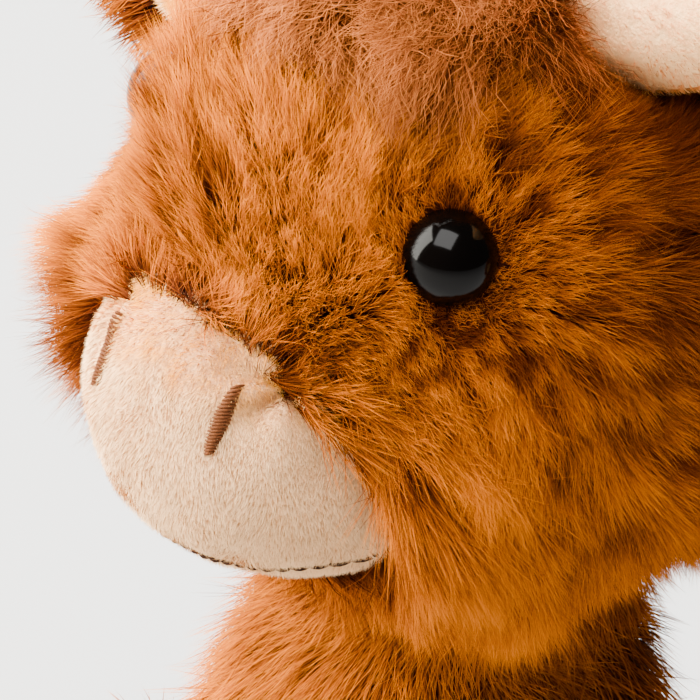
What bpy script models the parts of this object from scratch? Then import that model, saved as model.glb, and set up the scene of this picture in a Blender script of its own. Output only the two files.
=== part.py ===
"""A seated plush highland cow, built as it is sewn: covers, fillings, eyes, stitches and limbs.

The front looks along -Y, the cow's left is +X and +Z is up. The origin lies on the floor in the
middle of the flat seat panel. Every length is in metres.
"""
import bmesh
import bpy
from math import cos, exp, pi, radians, sin, sqrt
from mathutils import Matrix, Vector

# Clearances shared by all pieces
GAP = 0.0003
CUT_OVERRUN = 0.2

# Cloth and pile: long fur cover, short plush cover, thin lining
FUR_COVER = 0.006
SHORT_COVER = 0.002

# Body, a pear that narrows to the chest
BODY_HALF_WIDTH = 0.042
BODY_HALF_DEPTH = 0.040
BODY_TOP = 0.116
BODY_SINK = 0.005
BODY_BACK = 0.008
CHEST_SHARE = 0.76
HIP_LEVEL_SHARE = 0.25
CHEST_LEVEL_SHARE = 0.80
BODY_FULLNESS_SHARE = 0.48

# Seat panel and the pouch of pellets that weighs the seat down
PANEL_THICKNESS = 0.0015
POUCH_RADIUS = 0.024
POUCH_HALF_HEIGHT = 0.009

# Neck, a ball that the head is sewn round
NECK_RADIUS = 0.022
NECK_HEIGHT = 0.104
NECK_THREAD = 0.0008
NECK_THREAD_LOW = 20.0
NECK_THREAD_HIGH = 34.0
NECK_THREAD_STEPS = 3

# Head, with fuller cheeks beside the muzzle
HEAD_HALF_WIDTH = 0.0435
HEAD_HALF_DEPTH = 0.0435
HEAD_HALF_HEIGHT = 0.046
HEAD_CENTRE_HEIGHT = 0.160
CHEEK_SHARE = 0.14
CHEEK_LEVEL_SHARE = -0.50
CHEEK_SPREAD_SHARE = 0.42
CHEEK_START_SHARE = 0.45
CHEEK_FULL_SHARE = 0.80

# Muzzle, a rounded pad that points forward and a little down
MUZZLE_HALF_WIDTH = 0.028
MUZZLE_HALF_LENGTH = 0.0325
MUZZLE_HALF_HEIGHT = 0.025
MUZZLE_FORWARD = 0.019
MUZZLE_DROP = 0.0112
MUZZLE_PITCH = 11.6

# Embroidery on the muzzle
NOSTRIL_SPACING = 0.021
NOSTRIL_RISE = 0.0105
NOSTRIL_LENGTH = 0.0086
NOSTRIL_WIDTH = 0.0012
NOSTRIL_POINTS = 7
NOSTRIL_END_SHARE = 0.15
MOUTH_DROP = 0.0140
MOUTH_SPREAD = 0.0213
MOUTH_LIFT = 0.0015
MOUTH_THREAD = 0.0007
MOUTH_POINTS = 15

# Safety eyes: dome, flange, shank and the washer that locks the shank
EYE_DIAMETER = 0.0120
EYE_DOME_HEIGHT = 0.0050
EYE_SHANK_DIAMETER = 0.0040
EYE_SHANK_LENGTH = 0.0110
EYE_SIDE_SHARE = 0.644
EYE_FRONT_SHARE = 0.635
EYE_HEIGHT_SHARE = 0.427
EYE_SEAT_RADIUS = 0.0408
WASHER_DIAMETER = 0.0110
WASHER_THICKNESS = 0.0015

# Forelock, a frizzy tuft over the brow
FORELOCK_HALF_WIDTH = 0.025
FORELOCK_HALF_DEPTH = 0.023
FORELOCK_HALF_HEIGHT = 0.017
FORELOCK_FORWARD = 0.012
FORELOCK_RISE = 0.038

# Horns, stuffed cones that sweep out and up
HORN_BASE_RADIUS = 0.0135
HORN_TIP_RADIUS = 0.0080
HORN_LENGTH = 0.058
HORN_RISE = 0.026
HORN_SLOPE = 12.0
HORN_SIDE = 0.020
HORN_BACK = 0.009
HORN_ROOT_HEIGHT = 0.039
HORN_SINK = 0.010
HORN_FULLNESS_SHARE = 0.35
HORN_STEP_SHARE = 0.01

# Ears, flat leaves under the horns, on a small rounded root
EAR_LENGTH = 0.046
EAR_HALF_HEIGHT = 0.013
EAR_THICKNESS = 0.0060
EAR_LINING_SHARE = 0.66
EAR_ROOT_RADIUS = 0.0036
EAR_SIDE = 0.0402
EAR_BACK = 0.0165
EAR_RISE = 0.010
EAR_DROOP = 12.0
EAR_STEM_SHARE = 0.3
EAR_FLARE_SHARE = 0.5

# Flat patches on the body that the legs are sewn to
PATCH_MARGIN = 0.0015

# Front legs: sewn to the front of the chest, they reach down and forward to the floor.
ARM_ROOT_RADIUS = 0.0120
ARM_FOOT_RADIUS = 0.0132
ARM_PATCH_HEIGHT = 0.070
ARM_PATCH_TURN = 32.0
ARM_PATCH_DEPTH = 0.0002
ARM_TILT = 16.0
ARM_PITCH = 28.0
ARM_SEAT_SHARE = 0.72

# Hind legs, sewn on at the hips
LEG_LENGTH = 0.050
LEG_ROOT_RADIUS = 0.0170
LEG_FOOT_RADIUS = 0.0185
LEG_PATCH_SIDE = 0.0375
LEG_FORWARD = 0.004
LEG_FLOOR_GAP = 0.0008
LEG_SPLAY = 12.0
LEG_SEAT_SHARE = 0.72

# Hooves take the last stretch of each leg
HOOF_LENGTH = 0.015

# Tail, a thin cord of plush with a tuft
TAIL_RADIUS = 0.0038
TAIL_LENGTH = 0.046
TAIL_ROOT_HEIGHT = 0.030
TAIL_ROOT_RADIUS = 0.0040
TAIL_DROP = 0.012
TAIL_POINTS = 7
TUFT_RADIUS = 0.0085
TUFT_LENGTH = 0.026
TUFT_TAPER_SHARE = 0.25

# Faces round and along the pieces
BODY_FACES = (28, 18)
HEAD_FACES = (32, 20)
MUZZLE_FACES = (28, 16)
FILLING_FACES = (18, 12)
LIMB_FACES = (16, 12)
LIMB_FILLING_FACES = (10, 8)
HORN_FACES = (16, 12)
SMALL_FACES = (12, 8)
EYE_FACES = (20, 6)
THREAD_SIDES = 1

HEAD_CENTRE = Vector((0, 0, HEAD_CENTRE_HEIGHT))
NECK_CENTRE = Vector((0, BODY_BACK, NECK_HEIGHT))
LEG_HEIGHT = LEG_FOOT_RADIUS + LEG_FLOOR_GAP

COLOURS = {
    "fur": ((0.47, 0.19, 0.04), 0.95, 0.0),
    "short_plush": ((0.82, 0.66, 0.50), 0.9, 0.0),
    "lining": ((0.80, 0.62, 0.47), 0.9, 0.0),
    "forelock_fur": ((0.58, 0.30, 0.14), 0.95, 0.0),
    "hoof_plush": ((0.30, 0.14, 0.07), 0.9, 0.0),
    "filling": ((0.92, 0.92, 0.90), 0.95, 0.0),
    "pellets": ((0.85, 0.85, 0.82), 0.6, 0.0),
    "eye_plastic": ((0.01, 0.007, 0.006), 0.08, 0.0),
    "washer_plastic": ((0.90, 0.90, 0.88), 0.5, 0.0),
    "thread": ((0.22, 0.08, 0.03), 0.6, 0.0),
}


def clear_scene():
    for item in list(bpy.data.objects):
        bpy.data.objects.remove(item)


def collection(name):
    made = bpy.data.collections.new(name)
    bpy.context.scene.collection.children.link(made)
    return made


def material(name):
    """A Principled material in the photographed colour, made once and shared."""
    if name in bpy.data.materials:
        return bpy.data.materials[name]
    colour, roughness, metallic = COLOURS[name]
    made = bpy.data.materials.new(name)
    made.use_nodes = True
    shader = made.node_tree.nodes["Principled BSDF"]
    shader.inputs["Base Color"].default_value = (*colour, 1)
    shader.inputs["Roughness"].default_value = roughness
    shader.inputs["Metallic"].default_value = metallic
    made.diffuse_color = (*colour, 1)
    return made


def add_object(name, mesh, colour, place=None):
    item = bpy.data.objects.new(name, mesh)
    mesh.materials.append(material(colour))
    mesh.shade_smooth()
    mesh.set_sharp_from_angle(angle=radians(50))
    PARTS.objects.link(item)
    if place is not None:
        item.matrix_world = place
    return item


def add_cutter(name, mesh, place=None):
    item = bpy.data.objects.new(name, mesh)
    CUTTERS.objects.link(item)
    item.hide_render = True
    item.display_type = "WIRE"
    if place is not None:
        item.matrix_world = place
    return item


def combine(item, other, operation):
    step = item.modifiers.new(operation.lower() + "_" + other.name, "BOOLEAN")
    step.operation = operation
    step.object = other
    step.solver = "EXACT"


def cut(item, *cutters):
    for other in cutters:
        combine(item, other, "DIFFERENCE")


def keep_within(item, cutter):
    combine(item, cutter, "INTERSECT")


def form_mesh(name, shape, faces):
    """A unit sphere whose points are moved by a shape, a function of their direction."""
    shell = bmesh.new()
    bmesh.ops.create_uvsphere(shell, u_segments=faces[0], v_segments=faces[1], radius=1)
    for point in shell.verts:
        point.co = shape(point.co.normalized())
    if shell.calc_volume(signed=True) < 0:
        bmesh.ops.reverse_faces(shell, faces=shell.faces)
    mesh = bpy.data.meshes.new(name)
    shell.to_mesh(mesh)
    shell.free()
    return mesh


def ball_mesh(name, radius, faces=SMALL_FACES):
    return form_mesh(name, lambda d: d * radius, faces)


def slab_mesh(name, side, low, high):
    """A square slab that spans low to high along its own Z."""
    block = bmesh.new()
    bmesh.ops.create_cube(block, size=1)
    bmesh.ops.scale(block, vec=(side, side, high - low), verts=block.verts)
    bmesh.ops.translate(block, vec=(0, 0, (low + high) / 2), verts=block.verts)
    mesh = bpy.data.meshes.new(name)
    block.to_mesh(mesh)
    block.free()
    return mesh


def turned_object(name, profile, colour, steps, place):
    """A profile of (radius, height) pairs, top to bottom, turned round Z."""
    line = bmesh.new()
    points = [line.verts.new((radius, 0, height)) for radius, height in profile]
    for first, second in zip(points, points[1:]):
        line.edges.new((first, second))
    mesh = bpy.data.meshes.new(name)
    line.to_mesh(mesh)
    line.free()
    item = add_object(name, mesh, colour, place)
    turn = item.modifiers.new("turn", "SCREW")
    turn.steps = steps
    turn.render_steps = steps
    turn.use_merge_vertices = True
    turn.merge_threshold = 0.00001
    turn.use_smooth_shade = True
    return item


def tube_mesh(name, points, radii, sides):
    """A curve with filled caps, its radius given at each point, turned into a welded mesh."""
    curve = bpy.data.curves.new(name, "CURVE")
    curve.dimensions = "3D"
    curve.bevel_depth = 1
    curve.bevel_resolution = sides
    curve.use_fill_caps = True
    line = curve.splines.new("POLY")
    line.points.add(len(points) - 1)
    for knot, place, radius in zip(line.points, points, radii):
        knot.co = (*place, 1)
        knot.radius = radius
    holder = bpy.data.objects.new(name, curve)
    CUTTERS.objects.link(holder)
    graph = bpy.context.evaluated_depsgraph_get()
    mesh = bpy.data.meshes.new_from_object(holder.evaluated_get(graph))
    bpy.data.objects.remove(holder)
    welded = bmesh.new()
    welded.from_mesh(mesh)
    bmesh.ops.remove_doubles(welded, verts=welded.verts, dist=0.000001)
    bmesh.ops.recalc_face_normals(welded, faces=welded.faces)
    welded.to_mesh(mesh)
    welded.free()
    return mesh


def smooth_step(value, low, high):
    share = min(1, max(0, (value - low) / (high - low)))
    return share * share * (3 - 2 * share)


def frame_matrix(origin, along, up):
    """A placement whose Z runs along one direction and whose Y leans towards another."""
    axis_z = Vector(along).normalized()
    axis_x = Vector(up).cross(axis_z).normalized()
    axis_y = axis_z.cross(axis_x)
    turn = Matrix((axis_x, axis_y, axis_z)).transposed().to_4x4()
    return Matrix.Translation(origin) @ turn


def side_name(name, side):
    return name + ("_left" if side > 0 else "_right")


def body_shape(inset):
    """The pear: wide hips, a narrower chest, full rounded ends."""
    half_height = (BODY_TOP + BODY_SINK) / 2
    middle = half_height - BODY_SINK

    def shape(d):
        level = middle + d.z * (half_height - inset)
        narrow = smooth_step(level / BODY_TOP, HIP_LEVEL_SHARE, CHEST_LEVEL_SHARE)
        waist = 1 + (CHEST_SHARE - 1) * narrow
        flat = sqrt(max(0, 1 - d.z * d.z))
        reach = flat ** BODY_FULLNESS_SHARE
        ease = reach / flat if flat > 0 else 0
        return Vector((
            d.x * ease * (BODY_HALF_WIDTH * waist - inset),
            BODY_BACK + d.y * ease * (BODY_HALF_DEPTH * waist - inset),
            level,
        ))

    return shape


def head_shape(inset):
    """An egg that swells at the cheeks and jowls, but not in front, where the muzzle is."""

    def shape(d):
        swell = 1 + CHEEK_SHARE * exp(-((d.z - CHEEK_LEVEL_SHARE) / CHEEK_SPREAD_SHARE) ** 2)
        flat = sqrt(max(0, 1 - d.z * d.z))
        aside = 1
        if d.y < 0:
            aside = smooth_step(abs(d.x), CHEEK_START_SHARE * flat, CHEEK_FULL_SHARE * flat)
        deep = 1 + (swell - 1) * aside
        return HEAD_CENTRE + Vector((
            d.x * (HEAD_HALF_WIDTH * swell - inset),
            d.y * (HEAD_HALF_DEPTH * deep - inset),
            d.z * (HEAD_HALF_HEIGHT - inset),
        ))

    return shape


def muzzle_place():
    place = HEAD_CENTRE + Vector((0, -MUZZLE_FORWARD, -MUZZLE_DROP))
    return Matrix.Translation(place) @ Matrix.Rotation(radians(MUZZLE_PITCH), 4, "X")


def muzzle_shape(inset):
    def shape(d):
        return Vector((
            d.x * (MUZZLE_HALF_WIDTH - inset),
            d.y * (MUZZLE_HALF_LENGTH - inset),
            d.z * (MUZZLE_HALF_HEIGHT - inset),
        ))

    return shape


def muzzle_point(across, height, outward):
    """A point over the front of the muzzle, given across it and up it."""
    wide = MUZZLE_HALF_WIDTH + outward
    long = MUZZLE_HALF_LENGTH + outward
    tall = MUZZLE_HALF_HEIGHT + outward
    forward = long * sqrt(max(0, 1 - (across / wide) ** 2 - (height / tall) ** 2))
    return muzzle_place() @ Vector((across, -forward, height))


def eye_place(side):
    way = Vector((side * EYE_SIDE_SHARE, -EYE_FRONT_SHARE, EYE_HEIGHT_SHARE)).normalized()
    return frame_matrix(HEAD_CENTRE + way * EYE_SEAT_RADIUS, way, (0, 0, 1))


def horn_curve(side, share):
    """The horn's centre line: it leaves the head sideways and bends up."""
    slope = radians(HORN_SLOPE)
    way = Vector((side * cos(slope), 0, sin(slope)))
    root = HEAD_CENTRE + Vector((side * HORN_SIDE, HORN_BACK, HORN_ROOT_HEIGHT)) - way * HORN_SINK
    bend = Vector((0, 0, 1)) * HORN_RISE * share * share
    return root + way * HORN_LENGTH * share + bend


def horn_shape(side, inset):
    """A tapering body of rings that follow the horn's centre line."""
    start = inset / HORN_LENGTH

    def shape(d):
        share = start + (1 - 2 * start) * (d.z + 1) / 2
        flat = sqrt(max(0, 1 - d.z * d.z))
        full = flat ** HORN_FULLNESS_SHARE
        taper = HORN_BASE_RADIUS + (HORN_TIP_RADIUS - HORN_BASE_RADIUS) * share
        centre = horn_curve(side, share)
        ahead = horn_curve(side, share + HORN_STEP_SHARE)
        behind = horn_curve(side, share - HORN_STEP_SHARE)
        place = frame_matrix(centre, ahead - behind, (0, 1, 0))
        ring = full * (taper - inset)
        ease = ring / flat if flat > 0 else 0
        return place @ Vector((d.x * ease, d.y * ease, 0))

    return shape


def limb_shape(length, root_radius, foot_radius, inset):
    """A stuffed limb along +Z from its root, a little wider at the foot."""

    def shape(d):
        share = smooth_step((d.z + 1) / 2, 0, 1)
        radius = root_radius + (foot_radius - root_radius) * share - inset
        middle = length * share
        return Vector((d.x * radius, d.y * radius, middle + d.z * radius))

    return shape


def arm_frame(side):
    """Patch centre, patch normal and direction of a front leg."""
    tilt = radians(ARM_TILT)
    turn = radians(ARM_PATCH_TURN)
    ahead = Vector((side * sin(turn), -cos(turn), 0))
    normal = ahead * cos(tilt) + Vector((0, 0, 1)) * sin(tilt)
    half_height = (BODY_TOP + BODY_SINK) / 2
    lift = (ARM_PATCH_HEIGHT + BODY_SINK) / half_height - 1
    flat = sqrt(1 - lift * lift)
    surface = body_shape(0)(Vector((ahead.x * flat, ahead.y * flat, lift)))
    pitch = radians(ARM_PITCH)
    along = Vector((0, -sin(pitch), -cos(pitch)))
    return surface - normal * ARM_PATCH_DEPTH, normal, along


def arm_length(side):
    """A front leg is as long as it takes for its hoof to stand on the floor."""
    centre, normal, along = arm_frame(side)
    root = centre + normal * ARM_ROOT_RADIUS * ARM_SEAT_SHARE
    return (root.z - ARM_FOOT_RADIUS - LEG_FLOOR_GAP) / -along.z


def leg_frame(side):
    """Patch centre, patch normal and direction of a hind leg."""
    splay = radians(LEG_SPLAY)
    normal = Vector((side, 0, 0))
    along = Vector((side * sin(splay), -cos(splay), 0))
    centre = Vector((side * LEG_PATCH_SIDE, -LEG_FORWARD, LEG_HEIGHT))
    return centre, normal, along


def patch_slab(name, centre, normal, low, high, side):
    """A slab over a seam patch, from low to high along its normal."""
    return add_cutter(name, slab_mesh(name, side, low, high), frame_matrix(centre, normal, (0, 1, 0)))


def make_body(limbs):
    """The pear cover with its neck ball, open at the seat, with its flat patches for the limbs."""
    cover = add_object("body_cover", form_mesh("body_cover", body_shape(0), BODY_FACES), "fur")
    neck = Matrix.Translation(NECK_CENTRE)
    combine(cover, add_cutter("neck_ball", ball_mesh("neck_ball", NECK_RADIUS, BODY_FACES), neck), "UNION")
    hollow = add_cutter("body_hollow", form_mesh("body_hollow", body_shape(FUR_COVER), FILLING_FACES))
    inner_radius = NECK_RADIUS - FUR_COVER
    inner = ball_mesh("neck_hollow", inner_radius, FILLING_FACES)
    cut(cover, hollow, add_cutter("neck_hollow", inner, neck))
    floor_level = PANEL_THICKNESS + GAP
    seat_cut = add_cutter("seat_cut", slab_mesh("seat_cut", CUT_OVERRUN, -CUT_OVERRUN, floor_level))
    cut(cover, seat_cut)
    for name, (centre, normal, along), patch in limbs:
        cut(cover, patch_slab("patch_" + name, centre, normal, 0, BODY_HALF_WIDTH, patch))
    return cover


def make_body_filling(limbs):
    """The fibre filling of the body, with a hollow over the seat where the pellet pouch lies."""
    inset = FUR_COVER + GAP
    shape = body_shape(inset)
    filling = add_object("body_filling", form_mesh("body_filling", shape, FILLING_FACES), "filling")
    base_level = PANEL_THICKNESS + GAP
    base = slab_mesh("filling_base", CUT_OVERRUN, -CUT_OVERRUN, base_level)
    cut(filling, add_cutter("filling_base", base))
    room = pouch_mesh("pouch_room", GAP)
    cut(filling, add_cutter("pouch_room", room, pouch_place()))
    for name, (centre, normal, along), patch in limbs:
        near = -FUR_COVER - PATCH_MARGIN
        cut(filling, patch_slab("core_" + name, centre, normal, near, BODY_HALF_WIDTH, patch))
    return filling


def pouch_place():
    return Matrix.Translation((0, BODY_BACK, PANEL_THICKNESS + GAP + POUCH_HALF_HEIGHT))


def pouch_mesh(name, grow):
    def shape(d):
        wide = POUCH_RADIUS + grow
        return Vector((d.x * wide, d.y * wide, d.z * (POUCH_HALF_HEIGHT + grow)))

    return form_mesh(name, shape, FILLING_FACES)


def make_seat():
    """The round panel that closes the seat, and the pouch of pellets on it."""
    panel = bmesh.new()
    bmesh.ops.create_cone(
        panel, cap_ends=True, segments=BODY_FACES[0], radius1=1, radius2=1, depth=PANEL_THICKNESS)
    level = PANEL_THICKNESS
    half_height = (BODY_TOP + BODY_SINK) / 2
    lift = (level + BODY_SINK - half_height) / half_height
    flat = sqrt(1 - lift * lift) ** BODY_FULLNESS_SHARE
    stretch = (BODY_HALF_WIDTH * flat, BODY_HALF_DEPTH * flat, 1)
    bmesh.ops.scale(panel, vec=stretch, verts=panel.verts)
    mesh = bpy.data.meshes.new("seat_panel")
    panel.to_mesh(mesh)
    panel.free()
    place = Matrix.Translation((0, BODY_BACK, PANEL_THICKNESS / 2))
    add_object("seat_panel", mesh, "short_plush", place)
    add_object("pellet_pouch", pouch_mesh("pellet_pouch", 0), "pellets", pouch_place())


def make_head(eye_rooms, ear_rooms):
    """The furry head cover, open at the neck and where the muzzle and horns pass through it."""
    cover = add_object("head_cover", form_mesh("head_cover", head_shape(0), HEAD_FACES), "fur")
    hollow = form_mesh("head_hollow", head_shape(FUR_COVER), FILLING_FACES)
    cut(cover, add_cutter("head_hollow", hollow), neck_room(), muzzle_room(), forelock_room())
    cut(cover, *[horn_room(side) for side in (1, -1)], *eye_rooms, *ear_rooms)
    return cover


def make_head_filling(eye_rooms, washer_rooms):
    inset = FUR_COVER + GAP
    shape = head_shape(inset)
    filling = add_object("head_filling", form_mesh("head_filling", shape, FILLING_FACES), "filling")
    core_shape = muzzle_shape(SHORT_COVER + GAP)
    core = form_mesh("muzzle_core", core_shape, FILLING_FACES)
    combine(filling, add_cutter("muzzle_core", core, muzzle_place()), "UNION")
    cut(filling, bpy.data.objects["neck_room"], *eye_rooms, *washer_rooms)
    return filling


def neck_room():
    room = ball_mesh("neck_room", NECK_RADIUS + GAP + NECK_THREAD + GAP, BODY_FACES)
    return add_cutter("neck_room", room, Matrix.Translation(NECK_CENTRE))


def make_neck_thread():
    """The drawn thread round the neck ball, on which the head's opening is gathered."""
    inner = NECK_RADIUS + GAP
    outer = inner + NECK_THREAD
    span = NECK_THREAD_HIGH - NECK_THREAD_LOW
    angles = []
    for step in range(NECK_THREAD_STEPS + 1):
        angles.append(radians(NECK_THREAD_HIGH - span * step / NECK_THREAD_STEPS))
    outside = [(outer * cos(angle), outer * sin(angle)) for angle in angles]
    inside = [(inner * cos(angle), inner * sin(angle)) for angle in reversed(angles)]
    profile = outside + inside + outside[:1]
    turned_object("neck_thread", profile, "thread", BODY_FACES[0], Matrix.Translation(NECK_CENTRE))


def muzzle_room():
    room = form_mesh("muzzle_room", muzzle_shape(-GAP), MUZZLE_FACES)
    return add_cutter("muzzle_room", room, muzzle_place())


def horn_room(side):
    name = side_name("horn_room", side)
    return add_cutter(name, form_mesh(name, horn_shape(side, -GAP), HORN_FACES))


def make_muzzle():
    """The short-pile muzzle, a cap over the front filling, open where it meets the head."""
    shape = muzzle_shape(0)
    cover = form_mesh("muzzle_cover", shape, MUZZLE_FACES)
    muzzle = add_object("muzzle_cover", cover, "short_plush", muzzle_place())
    hollow = form_mesh("muzzle_hollow", muzzle_shape(SHORT_COVER), FILLING_FACES)
    cut(muzzle, add_cutter("muzzle_hollow", hollow, muzzle_place()))
    inner = form_mesh("head_core", head_shape(FUR_COVER), FILLING_FACES)
    cut(muzzle, add_cutter("head_core", inner))
    return muzzle


def make_nostril(side):
    """A satin-stitched slit that follows the muzzle's curve."""
    name = side_name("nostril", side)
    across = side * NOSTRIL_SPACING / 2
    raised = NOSTRIL_WIDTH / 2 + GAP
    points = []
    radii = []
    for step in range(NOSTRIL_POINTS):
        share = step / (NOSTRIL_POINTS - 1)
        height = NOSTRIL_RISE + NOSTRIL_LENGTH * (share - 1 / 2)
        points.append(muzzle_point(across, height, raised))
        swell = NOSTRIL_END_SHARE + (1 - 2 * NOSTRIL_END_SHARE) * share
        radii.append(NOSTRIL_WIDTH / 2 * sin(pi * swell))
    add_object(name, tube_mesh(name, points, radii, THREAD_SIDES), "thread")


def make_mouth():
    """One thread line, a wide smile low on the muzzle."""
    points = []
    raised = MOUTH_THREAD / 2 + GAP
    for step in range(MOUTH_POINTS):
        share = 2 * step / (MOUTH_POINTS - 1) - 1
        across = MOUTH_SPREAD * share
        lift = MOUTH_LIFT * share * share
        points.append(muzzle_point(across, lift - MOUTH_DROP, raised))
    radii = [MOUTH_THREAD / 2] * MOUTH_POINTS
    add_object("mouth_stitch", tube_mesh("mouth_stitch", points, radii, THREAD_SIDES), "thread")


def eye_profile(grow):
    """Dome, flange and shank, from the top of the dome down to the shank's end."""
    radius = EYE_DIAMETER / 2
    steps = EYE_FACES[1]
    dome = []
    for step in range(steps + 1):
        angle = pi / 2 * (1 - step / steps)
        dome.append(((radius + grow) * cos(angle), (EYE_DOME_HEIGHT + grow) * sin(angle)))
    dome[0] = (0, EYE_DOME_HEIGHT + grow)
    shank = EYE_SHANK_DIAMETER / 2 + grow
    flange = -EYE_SHANK_DIAMETER / 4 - grow
    end = -EYE_SHANK_LENGTH - grow
    return dome + [(radius + grow, flange), (shank, flange), (shank, end), (0, end)]


def make_eye(side):
    name = side_name("eye", side)
    turned_object(name, eye_profile(0), "eye_plastic", EYE_FACES[0], eye_place(side))


def eye_room(side):
    name = side_name("eye_room", side)
    room = turned_object(name, eye_profile(GAP), "eye_plastic", EYE_FACES[0], eye_place(side))
    PARTS.objects.unlink(room)
    CUTTERS.objects.link(room)
    room.hide_render = True
    room.display_type = "WIRE"
    return room


def washer_level():
    return -FUR_COVER - GAP - WASHER_THICKNESS


def make_washer(side):
    """The ring pushed on to the shank behind the cloth."""
    name = side_name("eye_washer", side)
    outer = WASHER_DIAMETER / 2
    inner = EYE_SHANK_DIAMETER / 2 + GAP
    low = washer_level()
    high = low + WASHER_THICKNESS
    profile = [(inner, high), (outer, high), (outer, low), (inner, low), (inner, high)]
    turned_object(name, profile, "washer_plastic", EYE_FACES[0], eye_place(side))


def washer_room(side):
    """The washer's own space in the filling; it runs out to the cloth, so nothing is sealed."""
    name = side_name("washer_room", side)
    low = washer_level() - GAP
    room = bmesh.new()
    radius = WASHER_DIAMETER / 2 + GAP
    depth = FUR_COVER - low
    bmesh.ops.create_cone(
        room, cap_ends=True, segments=EYE_FACES[0], radius1=radius, radius2=radius, depth=depth)
    bmesh.ops.translate(room, vec=(0, 0, low + depth / 2), verts=room.verts)
    mesh = bpy.data.meshes.new(name)
    room.to_mesh(mesh)
    room.free()
    return add_cutter(name, mesh, eye_place(side))


def forelock_shape(grow):
    def shape(d):
        return HEAD_CENTRE + Vector((
            d.x * (FORELOCK_HALF_WIDTH + grow),
            d.y * (FORELOCK_HALF_DEPTH + grow) - FORELOCK_FORWARD,
            d.z * (FORELOCK_HALF_HEIGHT + grow) + FORELOCK_RISE,
        ))

    return shape


def forelock_room():
    """The head's own skin under the tuft, so that the tuft sits in a shallow bed."""
    name = "forelock_room"
    return add_cutter(name, form_mesh(name, forelock_shape(-FUR_COVER / 2), FILLING_FACES))


def make_forelock():
    mesh = form_mesh("forelock", forelock_shape(0), FILLING_FACES)
    tuft = add_object("forelock", mesh, "forelock_fur")
    skin = form_mesh("brow_skin", head_shape(-GAP), HEAD_FACES)
    cut(tuft, add_cutter("brow_skin", skin))
    cut(tuft, *[bpy.data.objects[side_name("horn_room", side)] for side in (1, -1)])
    return tuft


def make_horn(side):
    """The stuffed horn: a short-pile cover open at its root, and its filling."""
    name = side_name("horn", side)
    cover = add_object(name, form_mesh(name, horn_shape(side, 0), HORN_FACES), "short_plush")
    hollow = name + "_hollow"
    cut(cover, add_cutter(hollow, form_mesh(hollow, horn_shape(side, SHORT_COVER), SMALL_FACES)))
    cut(cover, bpy.data.objects["head_core"])
    core = side_name("horn_filling", side)
    inset = SHORT_COVER + GAP
    shape = horn_shape(side, inset)
    filling = add_object(core, form_mesh(core, shape, SMALL_FACES), "filling")
    cut(filling, bpy.data.objects["head_core"])


def ear_pivot(side):
    return HEAD_CENTRE + Vector((side * EAR_SIDE, EAR_BACK, EAR_RISE))


def ear_shape(side, share, front):
    """A flat leaf: front is how far its middle plane stands before the ear's own."""
    droop = radians(EAR_DROOP)
    along = Vector((side * cos(droop), 0, -sin(droop)))
    up = Vector((side * sin(droop), 0, cos(droop)))
    pivot = ear_pivot(side)

    def shape(d):
        reach = (1 + d.z) / 2
        flare = EAR_STEM_SHARE + (1 - EAR_STEM_SHARE) * smooth_step(reach, 0, EAR_FLARE_SHARE)
        away = along * EAR_LENGTH * ((1 - share) / 2 + share * reach)
        rise = up * (d.x * flare * EAR_HALF_HEIGHT * share)
        deep = Vector((0, d.y * flare * EAR_THICKNESS / 2 * share - front, 0))
        return pivot + away + rise + deep

    return shape


def make_ear(side):
    """The furry leaf with its rounded root, and the pale lining on its front."""
    name = side_name("ear", side)
    ear = add_object(name, form_mesh(name, ear_shape(side, 1, 0), LIMB_FACES), "fur")
    root = name + "_root"
    place = Matrix.Translation(ear_pivot(side))
    combine(ear, add_cutter(root, ball_mesh(root, EAR_ROOT_RADIUS), place), "UNION")
    bed = name + "_bed"
    front = EAR_THICKNESS / 2
    lining = side_name("ear_lining", side)
    grown = EAR_LINING_SHARE * (1 + GAP / EAR_THICKNESS * 2)
    cut(ear, add_cutter(bed, form_mesh(bed, ear_shape(side, grown, front), SMALL_FACES)))
    piece = form_mesh(lining, ear_shape(side, EAR_LINING_SHARE, front), SMALL_FACES)
    add_object(lining, piece, "lining")


def ear_room(side):
    name = side_name("ear_room", side)
    room = ball_mesh(name, EAR_ROOT_RADIUS + GAP)
    return add_cutter(name, room, Matrix.Translation(ear_pivot(side)))


def make_limb(name, frame, length, root_radius, foot_radius, seat_share):
    """One stuffed leg: fur cover, hoof and filling, flat where it is sewn to the body."""
    centre, normal, along = frame
    origin = centre + normal * root_radius * seat_share
    place = frame_matrix(origin, along, normal)
    top = length + foot_radius - HOOF_LENGTH
    sizes = (length, root_radius, foot_radius)
    reach = length + 2 * foot_radius
    flat = patch_slab(name + "_flat", centre, normal, -reach, GAP, 3 * reach)

    def shell(piece, colour, thickness, low, high):
        item = add_object(piece, form_mesh(piece, limb_shape(*sizes, 0), LIMB_FACES), colour, place)
        hollow = piece + "_hollow"
        inner = form_mesh(hollow, limb_shape(*sizes, thickness), LIMB_FILLING_FACES)
        cut(item, add_cutter(hollow, inner, place))
        keep = piece + "_keep"
        keep_within(item, add_cutter(keep, slab_mesh(keep, reach, low, high), place))
        return item

    cut(shell(name, "fur", FUR_COVER / 2, -reach, top - GAP / 2), flat)
    shell(name + "_hoof", "hoof_plush", SHORT_COVER, top + GAP / 2, reach)
    core = name + "_filling"
    mesh = form_mesh(core, limb_shape(*sizes, FUR_COVER / 2 + GAP), LIMB_FILLING_FACES)
    filling = add_object(core, mesh, "filling", place)
    inner_flat = patch_slab(name + "_core_flat", centre, normal, -reach, FUR_COVER / 2, 3 * reach)
    cut(filling, inner_flat)


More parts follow.
